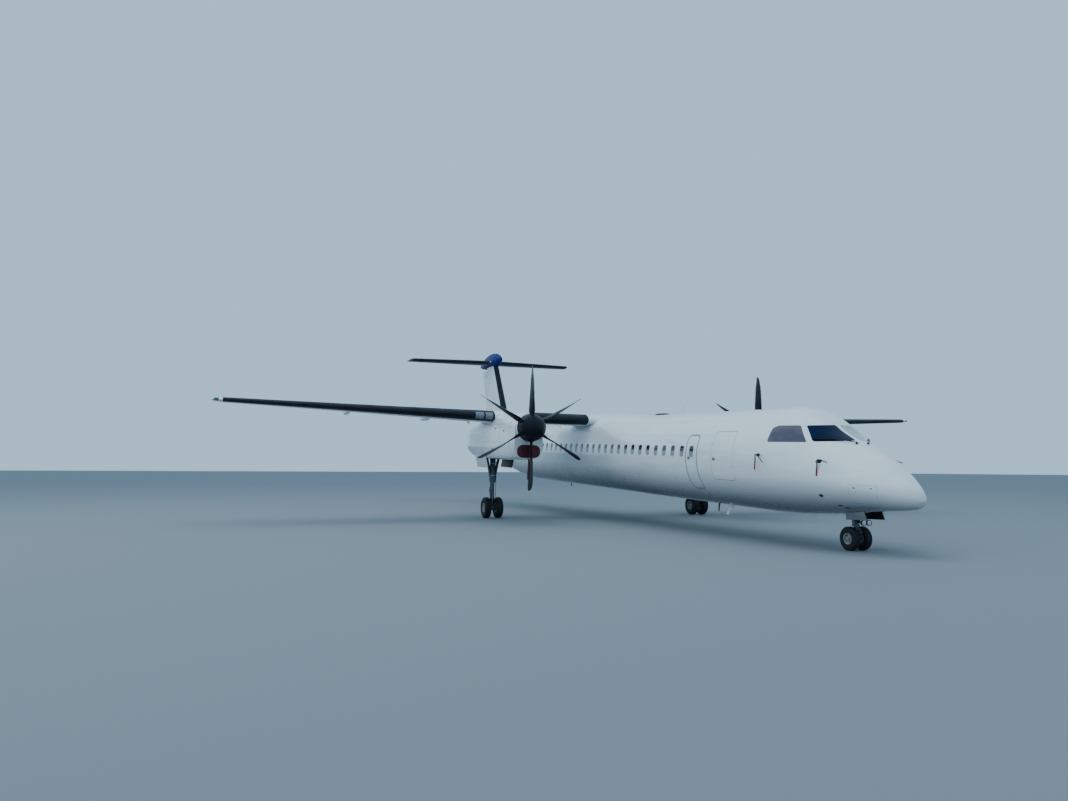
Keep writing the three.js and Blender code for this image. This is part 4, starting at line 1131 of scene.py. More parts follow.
# Nose access panels: light alloy lids, flush, with two dark toggle latches, and the vents
# and drains beside them. The avionics bay breathes through them.
NOSE_PANEL = front, rear, low, high = 0.74, 1.30, -0.87, -0.47
PANEL_GAP = 0.004
panel_lines, latches = [], []
for skin in SKIN_SIDES.values():
    outer, inner = (grown_by(g, *NOSE_PANEL, 0.026, 4) for g in (PANEL_GAP, 0))
    panel_lines.append(ring_on(skin, outer, inner, 0.0006, -0.004))
    latches += [seat(skin, front + (rear - front) * share, high - 0.06, -0.002) for share in (0.2, 0.8)]
piece("nose_panel_joints", together(panel_lines), joint_sealant, "airframe", "gear_steel")
latches = set_out("nose_panel_latches", latches, pane_seal, 0.05, 0.004, 0.026, sides=12)
fix(latches, "airframe", "gear_steel")
ports = [seat(skin, 2.03, -0.75, -0.002) for skin in SKIN_SIDES.values()]
# The vents are thin black discs on the skin: painted shade for their open mouths.
vents = [
    seat(skin, station, height, -0.002)
    for skin in SKIN_SIDES.values() for station, height in ((1.74, -0.96), (1.65, -1.00))
]
fix(set_out("nose_ports", ports, pane_seal, 0.11, 0.004, 0.085, sides=16), "airframe", "tyre_rubber")
fix(set_out("nose_vents", vents, pane_seal, 0.13, 0.006, 0.05, sides=14), "airframe", "tyre_rubber")

# Pitot tubes and angle of attack vanes: nickel plated probes on small black bases. While
# parked each wears a cover with a red and grey flag that hangs from it.
probe_black = material("probe_base_black", "#1B1D1F", 0.45, 0.3)
# Coated nylon flags: red, soft, with a faint weave.
red_webbing = vary(material("red_nylon_webbing", "#97343A", 0.75), ("#A03B40", "#7E292F"), 0.015)
# The upper half of each flag is its grey lanyard sleeve, dirty from use.
grey_webbing = vary(material("grey_nylon_webbing", "#5D666C", 0.75), ("#687278", "#4C5459"), 0.015)
FLAG_WIDTH, FLAG_LENGTH = 0.036, 0.36
# station and height of each probe, and how far its rod reaches forward and drops
PROBES = ((3.87, 0.13, 0.30, 0.19), (2.05, 0.02, 0.34, 0.05))
bases, tubes = [], []


def flag(name, top, finish, length=FLAG_LENGTH, width=FLAG_WIDTH, sway=0.008):
    """A narrow strip of cloth that hangs from a point, a little curled."""
    rings = []
    for k in range(13):
        t = k / 12
        drift = FORWARD * sway * math.sin(5 * t) + TO_PORT * sway * 0.6 * math.sin(4 * t + 1)
        middle = top - Vector((0, 0, length * t)) + drift
        turn = 0.5 + 0.5 * t
        lie = (FORWARD * math.cos(turn) + TO_PORT * math.sin(turn)).normalized() * width / 2
        thin = lie.cross(Vector((0, 0, 1))).normalized() * 0.001
        rings.append([middle - lie - thin, middle + lie - thin, middle + lie + thin, middle - lie + thin])
    made = make(name, loft(rings), finish, 50)
    return made


for hand, side in HANDS:
    for k, (station, height, reach, drop) in enumerate(PROBES):
        foot_place, outward, along = seat(SKIN_SIDES[side], station, height, -0.004)
        bases.append((foot_place, outward, along))
        elbow = foot_place + outward * 0.10
        bend = [foot_place, foot_place + outward * 0.06, elbow + FORWARD * 0.02, elbow + FORWARD * 0.16]
        tubes += [
            pipe(bend, 0.014),
            bar(elbow + FORWARD * 0.1, elbow + FORWARD * reach - UPWARD * drop, 0.011, 10),
        ]
        hang = elbow + outward * 0.006 - UPWARD * 0.014
        ribbon = flag(f"probe_flag_{k}_{hand}", hang, grey_webbing)
        ribbon.data.materials.append(red_webbing)
        for face in ribbon.data.polygons:
            if face.center.z < hang.z - FLAG_LENGTH / 2:
                face.material_index = 1
        fix(ribbon, "airframe", "cover_fabric")
fix(set_out("probe_bases", bases, probe_black, 0.15, 0.008, 0.08, sides=20), "airframe", "gear_steel")
piece("probes", together(tubes), probe_black, "airframe", "gear_steel")

# Windshield wipers: black steel arms with rubber blades, parked at the foot of the glass.
NOSE_FRONT = ahead_of(HULL)
wipers = []
for side in (1, -1):
    boss = NOSE_FRONT(side * 0.16, 0.44, -0.01)
    outward = (NOSE_FRONT(side * 0.16, 0.44, 1) - NOSE_FRONT(side * 0.16, 0.44)).normalized()
    arm = [NOSE_FRONT(side * (0.16 + 0.5 * t), 0.44 + 0.10 * t, 0.035) for t in steps(0, 1, 0.1)]
    blade = [NOSE_FRONT(side * (0.36 + 0.44 * t), 0.505 + 0.03 * t, 0.014) for t in steps(0, 1, 0.1)]
    wipers += [
        turned(boss, outward, [(0, 0.03), (0.035, 0.03), (0.04, 0)], 20), pipe(arm, 0.010),
        pipe(blade, 0.012), bar(arm[7], blade[3], 0.008, 8),
    ]
piece("windshield_wipers", together(wipers), probe_black, "airframe", "gear_steel")

# Aerials and drains: moulded glass fibre blades bolted through the skin on crown and belly,
# and heated drain masts that carry waste water clear of the tail.
def blade_aerial(station, foot_height, tip_height, chord, rake, y=0.0):
    """A thin swept blade that tapers from its foot on the skin to a rounded tip."""
    rings = []
    for t in (0, 0.3, 0.6, 0.85, 0.95, 1):
        size = chord * (1 - 0.45 * t) * (1 if t < 0.9 else 0.9 if t < 1 else 0.7)
        height = foot_height + (tip_height - foot_height) * t
        rings.append([spot(station + rake * t + x, y + z, height) for x, z in foil(size, 0.12, 0, 1, 0)])
    return loft(rings)


# Ivory paint on the white aerials, black erosion paint on the dark ones.
aerial_white = vary(material("aerial_enamel", "#E6E8E6", 0.35), ("#ECEEEC", "#D3D6D5"), 0.2)
white_aerials = [blade_aerial(9.36, 1.33, 1.625, 0.24, 0.24), blade_aerial(6.76, -1.33, -1.65, 0.24, 0.32)]
dark_aerials = [
    blade_aerial(7.50, -1.33, -1.60, 0.10, 0.06), blade_aerial(19.2, -1.33, -1.52, 0.14, 0.12, 0.25),
]
piece("white_blade_aerials", together(white_aerials), aerial_white, "airframe", "airframe_paint")
piece("drain_masts", together(dark_aerials), probe_black, "airframe", "gear_steel")
# A long low aerial on the crown, ahead of the wing: a dark moulded strip with tapered ends.
# station, half width, height
CROWN_STRIP = [
    (10.50, 0.02, 0.004), (10.62, 0.05, 0.035), (10.85, 0.06, 0.050), (11.30, 0.06, 0.048),
    (11.55, 0.02, 0.006),
]
# across as a share of the half width, and up as a share of the height
STRIP_SECTION = [(-1, 0.5), (-0.5, 1), (0.5, 1), (1, 0.5)]
strip = loft([
    [
        spot(s, y, CABIN_RADIUS + h)
        for y, h in [(-half, -0.02), *((half * u, high * v) for u, v in STRIP_SECTION), (half, -0.02)]
    ]
    for s, half, high in CROWN_STRIP
])
piece("crown_strip_aerial", strip, probe_black, "airframe", "gear_steel")


# Propellers: six swept composite blades in a steel hub, parked feathered, edge on to the
# wind. Foam cores carry carbon skins, and the outer leading edges wear nickel guards.
PROPELLER_STATION, PROPELLER_HEIGHT, BLADE_COUNT = 11.77, 0.82, 6
# radius, chord, thickness, sweep, pitch in degrees
BLADE = [
    (0.120, 0.130, 0.130, 0.000, 114), (0.440, 0.190, 0.112, 0.000, 116), (0.540, 0.280, 0.090, 0.000, 114),
    (0.700, 0.320, 0.060, 0.000, 106), (1.100, 0.358, 0.038, 0.008, 94), (1.620, 0.345, 0.024, 0.020, 85),
    (1.860, 0.285, 0.018, 0.040, 79), (2.000, 0.200, 0.012, 0.066, 77), (2.055, 0.070, 0.006, 0.092, 77),
]
# Charcoal polyurethane over the blades and spinner: satin to glossy, dusty towards the root.
charcoal_paint = vary(
    material("charcoal_polyurethane", "#060A16", 0.4, Specular_IOR_Level=0.25),
    ("#080C1A", "#04070F"), 0.35, (1, 1, 1), (0.35, 0.5),
)
nickel_guard = vary(material("nickel_leading_edge", "#565B62", 0.35, 0.6), ("#636972", "#464B52"), 0.1)


def blade_point(centre, radius, forward, thick, pitch):
    """A point of the blade that stands upright, from its place along and across the chord."""
    pitch = math.radians(pitch)
    return (centre + FORWARD * (forward * math.sin(pitch) + thick * math.cos(pitch))
            + TO_PORT * (thick * math.sin(pitch) - forward * math.cos(pitch)) + UPWARD * radius)


def blade_ring(centre, radius, reach=1.0, swell=0.0):
    """The blade's section at a radius: round at the root, and a thin foil further out."""
    _, chord, thickness, sweep, pitch = smooth_row(BLADE, radius)
    flat = min(1.0, max(0.0, (radius - 0.42) / 0.3))
    ring = []
    for sign in (1, -1):
        for k in range(16):
            turn = math.pi * k / 16 if sign > 0 else math.pi * (16 - k) / 16
            x = (1 - math.cos(turn)) / 2
            half = foil_at(x, 1.0, 0)[0] * thickness * (1 - 0.2 * x)
            bulge = (1 - flat) * math.sin(turn) * thickness / 2 + flat * half
            forward = chord / 2 - x * chord * reach - sweep + (swell if x < 0.02 else 0)
            ring.append(blade_point(centre, radius, forward, sign * (bulge + swell), pitch))
    return ring


# distance ahead of the blades' plane, radius
SPINNER = [(0.620, 0), (0.600, 0.120), (0.530, 0.245), (0.400, 0.345), (0.250, 0.408), (0.100, 0.433)]
BARREL = [
    (0.0995, 0), (0.0995, 0.433), (0.09, 0.431), (0.085, 0.434), (0.05, 0.437), (0.0, 0.440),
    (-0.12, 0.463), (-0.12, 0),
]
BACKPLATE = [(-0.1205, 0), (-0.1205, 0.463), (-0.2, 0.478), (-0.2, 0)]
for hand, side in HANDS:
    y, body = side * NACELLE_Y, f"propeller_disc_{hand}"
    centre = spot(PROPELLER_STATION, y, PROPELLER_HEIGHT)
    radii = [*steps(0.12, 1.86, 0.058), 1.92, 1.96, 2.0, 2.03, 2.055]
    one = make(
        f"propeller_blades_{hand}", loft([blade_ring(centre, radius) for radius in radii]), charcoal_paint,
        50,
    )
    blades = turned_round(one, charcoal_paint, BLADE_COUNT, centre, FORWARD, 50)
    fix(blades, body, "propeller_composite", f"propeller_{hand}")
    guard = make(f"propeller_guards_{hand}", loft([
        blade_ring(centre, radius, 0.09, 0.0012) for radius in steps(1.1, 1.99, 0.06)]), nickel_guard, 50)
    fix(turned_round(guard, nickel_guard, BLADE_COUNT, centre, FORWARD, 50), body, "gear_steel")
    curve = [(-distance, radius) for distance, radius in SPINNER]
    keys = (-0.62, -0.618, -0.613, -0.605, *steps(-0.595, -0.10, 0.025))
    dome = [(-key, smooth_row(curve, key)[1]) for key in keys]
    for name, profile, finish, slot, nodes in (
        ("dome", dome, charcoal_paint, "propeller_composite", [f"spinner_{hand}"]),
        ("barrel", BARREL, charcoal_paint, "propeller_composite", []),
        ("backplate", BACKPLATE, white_gloss, "airframe_paint", []),
    ):
        shell = turned(centre, FORWARD, profile, 96)
        piece(f"spinner_{name}_{hand}", shell, finish, body, slot, *nodes, sharp=25)
    cuffs = make(f"blade_root_seals_{hand}", turned(centre, UPWARD, [
        (0.40, 0), (0.40, 0.10), (0.452, 0.10), (0.456, 0.094), (0.456, 0)], 28), pane_seal)
    fix(turned_round(cuffs, pane_seal, BLADE_COUNT, centre, FORWARD), body, "tyre_rubber")
    rim_screws = []
    for k in range(36):
        turn = 2 * math.pi * (k + 0.5) / 36
        outward = TO_PORT * math.cos(turn) + UPWARD * math.sin(turn)
        place = centre + FORWARD * 0.115 + outward * 0.4295
        rim_screws.append((place, (outward + FORWARD * 0.5).normalized(), FORWARD))
    fix(set_out(f"spinner_screws_{hand}", rim_screws, plated_steel, 0.012, 0.003), body, "gear_steel")

# Intake plugs: foam cores sewn into red coated cloth, pushed into the ducts while parked,
# with a piped edge and a red flag that hangs from the middle.
# Coated cloth: deep red, dull, creased by handling.
red_cover = vary(
    material("red_coated_cloth", "#4C0C25", 0.6), ("#5E0E2C", "#3A0A1E"), 0.11, (1, 1, 1), (0.5, 0.7),
    0.003,
)
# Bias binding sewn round the edge: woven black tape.
binding_tape = vary(material("black_binding_tape", "#10131C", 0.8), ("#151925", "#0B0D13"), 0.02)
# station of each ring of the plug, and how far it lies inside the duct's outline
PLUG_FACE = (
    (12.08, 0.006), (11.995, 0.006), (11.984, 0.010), (11.979, 0.022), (11.977, 0.05), (11.9755, 0.10),
    (11.976, 0.15),
)
PIPING_STATION, PIPING_RADIUS, PIPING_INSET = 11.985, 0.006, 0.012
for hand, side in HANDS:
    y = side * NACELLE_Y
    half, low, high, radius, _ = INTAKE
    rings = []
    for station, inset in PLUG_FACE:
        outline = grown_by(-inset, y - half, y + half, low, high, radius, 8)
        rings.append([spot(station, a, b) for a, b in outline])
    rings.append([spot(11.9755, y, (low + high) / 2)])
    plug = make(f"intake_plug_{hand}", loft(rings), red_cover, 50)
    fix(plug, "airframe", "cover_fabric", f"intake_cover_{hand}")
    edge = grown_by(-PIPING_INSET, y - half, y + half, low, high, radius, 8)
    middle = spot(PIPING_STATION, y, (low + high) / 2)
    piping = loft([
        circle(place, PIPING_RADIUS, (place - middle).normalized(), FORWARD, 6)
        for place in (spot(PIPING_STATION, a, b) for a, b in edge)
    ], loop=True)
    piece(f"intake_plug_piping_{hand}", piping, binding_tape, "airframe", "cover_fabric")
    strap = flag(
        f"intake_plug_flag_{hand}", spot(11.965, y + side * 0.02, -0.18), red_cover,
        0.70, 0.065, 0.012,
    )
    fix(strap, "airframe", "cover_fabric")

# Nacelle fittings: the jet pipe that rises from the rear of the crown, cowl joints with
# quarter-turn fasteners, and small dark vents.
# Stainless steel of the jet pipes: straw and blue from heat, and sooty inside.
heated_steel = vary(material("heated_stainless_steel", "#6E675F", 0.45, 0.8), ("#7C736A", "#4E4B4E"), 0.15)
# foot and mouth as station and height, radius, wall
JET_PIPE = ((16.90, 1.00), (17.56, 1.25), 0.2, 0.018)
# stations of the joints round the cowl, heights of those along it, and places of the vents
COWL_RINGS, COWL_LINES = (12.36, 13.25, 14.35, 15.2, 16.75), (0.95, 0.32)
COWL_VENTS = ((12.85, 0.72), (13.7, 0.80), (14.0, 0.10))
for hand, side in HANDS:
    y = side * NACELLE_Y
    (root, low), (mouth, high), radius, wall = JET_PIPE
    start, run = spot(root, y, low), spot(mouth, y, high) - spot(root, y, low)
    profile = [(0, 0), (0, radius), (1, radius), (1, radius - wall), (0.7, radius - wall), (0.7, 0)]
    profile = [(run.length * share, size) for share, size in profile]
    exhaust = turned(start, run.normalized(), profile)
    piece(f"jet_pipe_{hand}", exhaust, heated_steel, "airframe", "engine_metal")
    joints, turns, vents = [], [], []
    for flank in (1, -1):
        skin = side_of(NACELLE, flank, y, NACELLE_POWERS)
        joints += [girth_line(NACELLE, skin, station, 1.4, 0.07, 0.0008) for station in COWL_RINGS]
        for height in COWL_LINES:
            joints.append(line_on(skin, between((12.36, height), (15.2, height), 30), SEAM * 0.7, 0.0008))
            turns += [seat(skin, station, height + 0.035, -0.001) for station in steps(12.45, 15.1, 0.16)]
        turns += [seat(skin, 12.42, height, -0.001) for height in steps(0.0, 1.1, 0.14)]
        vents += [seat(skin, station, height, -0.002) for station, height in COWL_VENTS]
    piece(f"cowl_joints_{hand}", together(joints), joint_sealant, "airframe", "gear_steel")
    fasteners = set_out(f"cowl_fasteners_{hand}", turns, plated_steel, 0.022, 0.003, sides=10)
    fix(fasteners, "airframe", "gear_steel")
    # The vents are thin black discs on the cowl: painted shade for their open mouths.
    slots = set_out(f"cowl_vents_{hand}", vents, pane_seal, 0.10, 0.004, 0.07, sides=16)
    fix(slots, "airframe", "tyre_rubber")

# Main landing gear: a forged steel leg in grey enamel with a chromed piston, braced to both
# sides and aft, on two wheels with carbon brakes between them.
# Grey enamel on the forgings: satin, with oil and dust near the joints.
gear_enamel = vary(
    material("gear_grey_enamel", "#4A5963", 0.42), ("#53636D", "#36424B"), 0.14, (1, 1, 1), (0.35, 0.55),
    0.0006,
)
# Hard chrome on the sliding tubes, with a film of oil, its colour darkened: painted shade for the gear's
# shadow.
shade_darkened_chrome = material("shade_darkened_chrome", "#666E75", 0.2, 1.0)
# Tyre rubber: black going grey with dust on the tread and at the foot of the wall.
tyre_rubber = vary(
    material("tyre_rubber", "#14171C", 0.75), ("#191D22", "#0E1013"), 0.09, (1, 1, 1), (0.65, 0.85), 0.0008,
)
# Wheel halves of forged aluminium in light grey enamel, dulled by brake dust.
wheel_enamel = vary(
    material("wheel_grey_enamel", "#8B9398", 0.42), ("#969EA3", "#6C7378"), 0.07, (1, 1, 1), (0.35, 0.55),
)
brake_carbon = vary(material("carbon_brake_disc", "#2B2C2D", 0.6), ("#343536", "#1F2021"), 0.03)
WHEEL_SIDES = 16
ON_GROUND = math.cos(math.pi / WHEEL_SIDES)
# station, outer radius, tyre width, rim radius, spacing of the two wheels
MAIN_WHEELS = (15.925, 0.3935, 0.248, 0.165, 0.460)
NOSE_WHEELS = (1.985, 0.280, 0.165, 0.127, 0.345)


def axle_height(station, radius):
    """How high a wheel's axle is when its tyre stands on the ground."""
    return (radius * ON_GROUND - DATUM_HEIGHT - station * math.sin(NOSE_DOWN)) / math.cos(NOSE_DOWN)


# The tyre from its rim to the middle of the tread: share of the wall's height, share of the half
# width, and for the grooved tread the same the other way round.
TYRE_WALL = [
    (0, 0.74), (0.06, 0.80), (0.2, 0.93), (0.4, 1.0), (0.58, 0.985), (0.74, 0.92), (0.87, 0.80),
    (0.95, 0.66), (0.985, 0.50),
]
GROOVES = [
    (0.50, 1), (0.46, 0.994), (0.45, 0.95), (0.41, 0.95), (0.40, 0.998), (0.14, 1), (0.13, 0.95),
    (0.09, 0.95), (0.08, 1), (0.0, 1),
]


def whirled(centre, section, sides):
    """A closed section carried round a wheel's axle."""
    rings = []
    for ray in circle(Vector(), 1.0, FORWARD, TO_PORT.cross(FORWARD), sides):
        rings.append([centre + TO_PORT * across + ray * radius for across, radius in section])
    return loft(rings, loop=True)


def wheel_of(name, sizes, y, body, bolts, hub):
    """One tyre on its two-piece rim, with tie bolts, windows in the disc and a dust cap."""
    station, outer, width, rim, _ = sizes
    outer *= ON_GROUND
    centre = spot(station, y, axle_height(station, sizes[1]))
    half = [(rim + 0.0006 + share * (outer - rim), flank * width / 2) for share, flank in TYRE_WALL[:-1]]
    half += [(rim + share * (outer - rim), flank * width / 2) for flank, share in GROOVES]
    section = [(across, radius) for radius, across in half]
    section += [(-across, radius) for radius, across in reversed(half[:-1])]
    piece(
        f"{name}_rubber", whirled(centre, section, 72), tyre_rubber, body, "tyre_rubber",
        f"{name}_tyre_{hub}", sharp=30,
    )
    flank = 1 if hub == "left" else -1
    outward = TO_PORT * flank
    lip, well = width * 0.40, width * 0.30
    outside = [
        (lip, rim * 0.86), (lip + 0.004, rim * 0.90), (lip + 0.004, rim * 1.02), (lip - 0.012, rim * 1.0),
        (0, rim * 0.995), (-lip + 0.012, rim * 1.0), (-lip - 0.004, rim * 1.02), (-lip - 0.004, rim * 0.90),
        (-lip, rim * 0.86), (-well * 0.7, rim * 0.84), (-0.2 * width, rim * 0.5),
        (-0.2 * width, rim * 0.36), (0.26 * width, rim * 0.34), (0.26 * width, rim * 0.46),
        (0.12 * width, rim * 0.54), (0.08 * width, rim * 0.74), (well * 0.8, rim * 0.835),
    ]
    section = [(across * flank, radius) for across, radius in outside]
    disc = make(f"{name}_disc", whirled(centre, section, 64), wheel_enamel, 30)
    place = centre + FORWARD * rim * 0.645 + outward * 0.04 * width
    drill = turned(place, outward, [(0, rim * 0.085), (0.3 * width, rim * 0.085)], 16)
    # The walls of the windows in the disc take the black of the pane sealant: painted shade in the holes.
    hole = make("hole", drill, pane_seal)
    cut_by(disc, turned_round(hole, pane_seal, bolts, centre, TO_PORT))
    shade(disc.data, 30)
    fix(disc, body, "wheel_rim", f"{name}_rim_{hub}")
    nuts = []
    for k in range(bolts * 2):
        a = math.pi * (k + 0.5) / bolts
        ray = FORWARD * math.cos(a) + TO_PORT.cross(FORWARD) * math.sin(a)
        nuts.append((centre + ray * rim * 0.775 + outward * 0.10 * width, outward, ray))
    fix(set_out(f"{name}_tie_bolts", nuts, plated_steel, rim * 0.075, 0.012, sides=6), body, "gear_steel")
    cap = turned(centre + outward * 0.262 * width, outward, [
        (0, 0), (0, rim * 0.35), (0.018, rim * 0.34), (0.030, rim * 0.27), (0.034, 0),
    ], 32)
    piece(f"{name}_dust_cap", cap, wheel_enamel, body, "wheel_rim", sharp=30)


# distance down the leg and radius of the cylinder with its collars
CYLINDER = [
    (0, 0), (0, 0.105), (1.14, 0.105), (1.15, 0.124), (1.235, 0.128), (1.245, 0.112), (1.325, 0.112),
    (1.33, 0.09), (1.33, 0),
]
CYLINDER_TOP, PISTON_TOP = 0.1497, -1.17
for hand, side in HANDS:
    y = side * NACELLE_Y
    axle = axle_height(*MAIN_WHEELS[:2])

    def leg(offset, height, aft=0.0):
        """A point near the leg, from its axis across and aft, and its height."""
        return spot(MAIN_WHEELS[0] + aft, y + offset, height)

    shapes = [turned(leg(0, CYLINDER_TOP), -UPWARD, CYLINDER, 40)]
    for start, end, radius, sides in (
        ((-0.088, axle), (0.088, axle), 0.090, 32),  # the axle's hub, and the axle
        ((-0.295, axle), (0.295, axle), 0.048, 24),
        ((0.04, -1.15), (0.30, 0.09), 0.05, 24),  # side stays
        ((-0.04, -1.15), (-0.30, 0.09), 0.05, 24),
        ((0, -0.72), (0, 0.09, 0.52), 0.044, 24),  # drag stay, and the lugs of all three
        ((-0.11, -1.12), (0.11, -1.12), 0.036, 24),
        ((-0.09, -0.72, 0.02), (0.09, -0.72, 0.02), 0.04, 24),
        ((-0.05, -1.483, 0.252), (0.05, -1.483, 0.252), 0.024, 24),  # pin of the torque links
    ):
        shapes.append(bar(leg(*start), leg(*end), radius, sides))
    # torque links, as height and distance aft
    upper = [(-1.055, 0.060), (-1.10, 0.060), (-1.50, 0.25), (-1.465, 0.27)]
    lower = [(-1.465, 0.235), (-1.50, 0.27), (axle + 0.03, 0.075), (axle + 0.07, 0.055)]
    for flank, link in ((-1, upper), (-1, lower), (1, upper), (1, lower)):
        shapes.append(loft([[leg(flank * 0.028 + d, h, a) for h, a in link] for d in (-0.010, 0.010)]))
    casting, node = together(shapes), f"main_gear_leg_{hand}"
    piece(f"main_leg_{hand}", casting, gear_enamel, "airframe", "gear_steel", node, sharp=40)
    stroke = PISTON_TOP - axle - 0.06
    piston = turned(leg(0, PISTON_TOP), -UPWARD, [(0, 0), (0, 0.072), (stroke, 0.072), (stroke, 0)], 40)
    piece(f"main_piston_{hand}", piston, shade_darkened_chrome, "airframe", "gear_steel")
    # across, height and distance aft of each bend of the brake pipes
    bends = (
        (0.10, 0.05, -0.06), (0.112, -0.6, -0.06), (0.118, -1.1, -0.06), (0.10, -1.4, -0.09),
        (0.09, axle + 0.15, -0.07), (0.10, axle + 0.02, -0.03),
    )
    pipes = [pipe([leg(flank * a, h, aft) for a, h, aft in bends], 0.008) for flank in (-1, 1)]
    piece(f"brake_pipes_{hand}", together(pipes), pane_seal, "airframe", "tyre_rubber")
    clamps = [
        turned(leg(0, height), -UPWARD, [(0, 0.1), (0, 0.113), (0.03, 0.113), (0.03, 0.1)], 40)
        for height in (-0.15, -0.45, -0.9)
    ]
    piece(f"leg_clamps_{hand}", together(clamps), plated_steel, "airframe", "gear_steel")
    pack = [(0, 0), (0, 0.115), (0.045, 0.115), (0.045, 0)]
    discs = [turned(leg(flank * 0.14, axle), TO_PORT * flank, pack, 40) for flank in (-1, 1)]
    piece(f"brake_packs_{hand}", together(discs), brake_carbon, "airframe", "gear_steel")
    for hub, flank in HANDS:
        wheel_of(f"main_{hand}", MAIN_WHEELS, y + flank * MAIN_WHEELS[4] / 2, f"main_wheels_{hand}", 9, hub)

# Nose landing gear: a smaller leg that steers, with a drag strut ahead of it, two taxi
# lamps on arms and a lug for the tow bar.
nose_axle = axle_height(*NOSE_WHEELS[:2])


def nose_point(y, height, aft=0.0):
    """A point near the nose leg, from its axis across and aft, and its height."""
    return spot(NOSE_WHEELS[0] + aft, y, height)


# Struts and lamp housings: black anodised, oily.
black_gear = vary(material("black_anodised_strut", "#24282C", 0.4, 0.2), ("#2B3035", "#181B1E"), 0.12)
# distance down the leg and radius
NOSE_CYLINDER = [
    (0, 0), (0, 0.082), (0.415, 0.082), (0.42, 0.10), (0.478, 0.108), (0.485, 0.088), (0.60, 0.088),
    (0.63, 0.080), (0.6347, 0),
]
LAMP_Y, LAMP_HEIGHT, LAMP_AHEAD = 0.074, -1.35, 0.262
fixed_leg = [turned(nose_point(0, -0.7603), -UPWARD, NOSE_CYLINDER, 40)]
for start, end in (
    ((-0.12, -1.22), (0.12, -1.22)), ((0, -1.20), (0.20, -0.82)), ((0, -1.20), (-0.20, -0.82)),
):
    fixed_leg.append(bar(nose_point(*start), nose_point(*end), 0.026))
struts = [bar(nose_point(-0.07, -1.33, -0.04), nose_point(0.07, -1.33, -0.04), 0.030)]
for flank in (-1, 1):
    lamp = nose_point(flank * LAMP_Y, LAMP_HEIGHT, -LAMP_AHEAD - 0.01)
    struts += [
        bar(nose_point(flank * 0.045, -1.33, -0.04), nose_point(flank * 0.045, -0.81, -0.43), 0.024),
        bar(nose_point(0, LAMP_HEIGHT, -0.05), lamp, 0.018, 12),
    ]
casting = together(fixed_leg)
piece("nose_leg_casting", casting, gear_enamel, "airframe", "gear_steel", "nose_gear_leg", sharp=40)
piece("nose_leg_struts", together(struts), black_gear, "airframe", "gear_steel", sharp=40)
# Sealed beam lamps: clear prismatic glass over a bright reflector, in black housings.
lamp_glass = material("sealed_beam_glass", "#DDE3E6", 0.08, 0.5, Coat_Weight=1.0)
HOUSING = [
    (0, 0), (0, 0.030), (0.012, 0.050), (0.035, 0.062), (0.083, 0.066), (0.088, 0.066), (0.088, 0.060),
    (0.078, 0.057), (0.078, 0),
]
LAMP_FACE = [(0, 0), (0, 0.0565), (0.004, 0.055), (0.0085, 0.038), (0.009, 0)]
backs = [nose_point(flank * LAMP_Y, LAMP_HEIGHT, -LAMP_AHEAD) for flank in (-1, 1)]
housings = [turned(back, FORWARD, HOUSING, 36) for back in backs]
glasses = [turned(back + FORWARD * 0.0785, FORWARD, LAMP_FACE, 36) for back in backs]
piece("taxi_lamp_housings", together(housings), black_gear, "airframe", "gear_steel", sharp=40)
piece("taxi_lamp_glasses", together(glasses), lamp_glass, "airframe", "gear_steel", sharp=40)
COLLAR = [(0, 0), (0, 0.078), (0.006, 0.084), (0.058, 0.084), (0.064, 0.05), (0.064, 0)]
lug = rounded(-0.035, 0.035, -0.03, 0.03, 0.012, 4)
fork = [
    turned(nose_point(0, -1.401), -UPWARD, COLLAR, 40),
    bar(nose_point(-0.08, nose_axle), nose_point(0.08, nose_axle), 0.058, 32),
    bar(nose_point(-0.232, nose_axle), nose_point(0.232, nose_axle), 0.033, 24),
    loft([[nose_point(u, nose_axle + v, aft) for u, v in lug] for aft in (-0.095, 0)]),
]
for flank in (-1, 1):
    for link in (
        [(-1.43, -0.07), (-1.46, -0.07), (-1.60, -0.155), (-1.58, -0.17)],
        [(-1.58, -0.15), (-1.60, -0.17), (nose_axle + 0.02, -0.05), (nose_axle + 0.05, -0.04)],
    ):
        fork.append(loft([[nose_point(flank * 0.024 + d, h, a) for h, a in link] for d in (-0.008, 0.008)]))
fork.append(bar(nose_point(-0.04, -1.59, -0.158), nose_point(0.04, -1.59, -0.158), 0.014))
piece(
    "nose_fork_casting", together(fork), gear_enamel, "nose_fork", "gear_steel", "nose_gear_fork", sharp=40,
)
stroke = -1.46 - nose_axle - 0.04
piston = turned(nose_point(0, -1.46), -UPWARD, [(0, 0), (0, 0.048), (stroke, 0.048), (stroke, 0)], 32)
piece("nose_piston", piston, shade_darkened_chrome, "nose_fork", "gear_steel")
for hub, flank in HANDS:
    wheel_of("nose", NOSE_WHEELS, flank * NOSE_WHEELS[4] / 2, "nose_wheels", 8, hub)

# Nose gear doors: bonded honeycomb leaves. The front pair has shut again behind the leg, so
# only its seams show. The rear pair hangs open, white outside and black inside: painted shade.
# station and height of the rear doors' corners, and where their hinges and linings are
NOSE_DOOR = [(2.030, -1.000), (2.000, -1.310), (1.800, -1.285), (1.360, -1.255), (1.480, -1.000)]
DOOR_HINGE, DOOR_MIDDLE = NOSE_BAY[1] + 0.005, NOSE_BAY[1] + 0.015


def below_hull(outline, side, near, far):
    """A plate that hangs from just under the skin to an outline's lower edge."""
    shape = prism("side", filled(outline, 0.08), side * near, side * far)
    made = make("plate", shape, painted_shade_black)
    cut_by(made, make("hull_space", hull(steps(0.5, 2.9, 0.06), 0.006), painted_shade_black))
    corners = [corner.co.copy() for corner in made.data.vertices]
    shape = corners, [tuple(face.vertices) for face in made.data.polygons]
    bpy.data.objects.remove(made)
    return shape


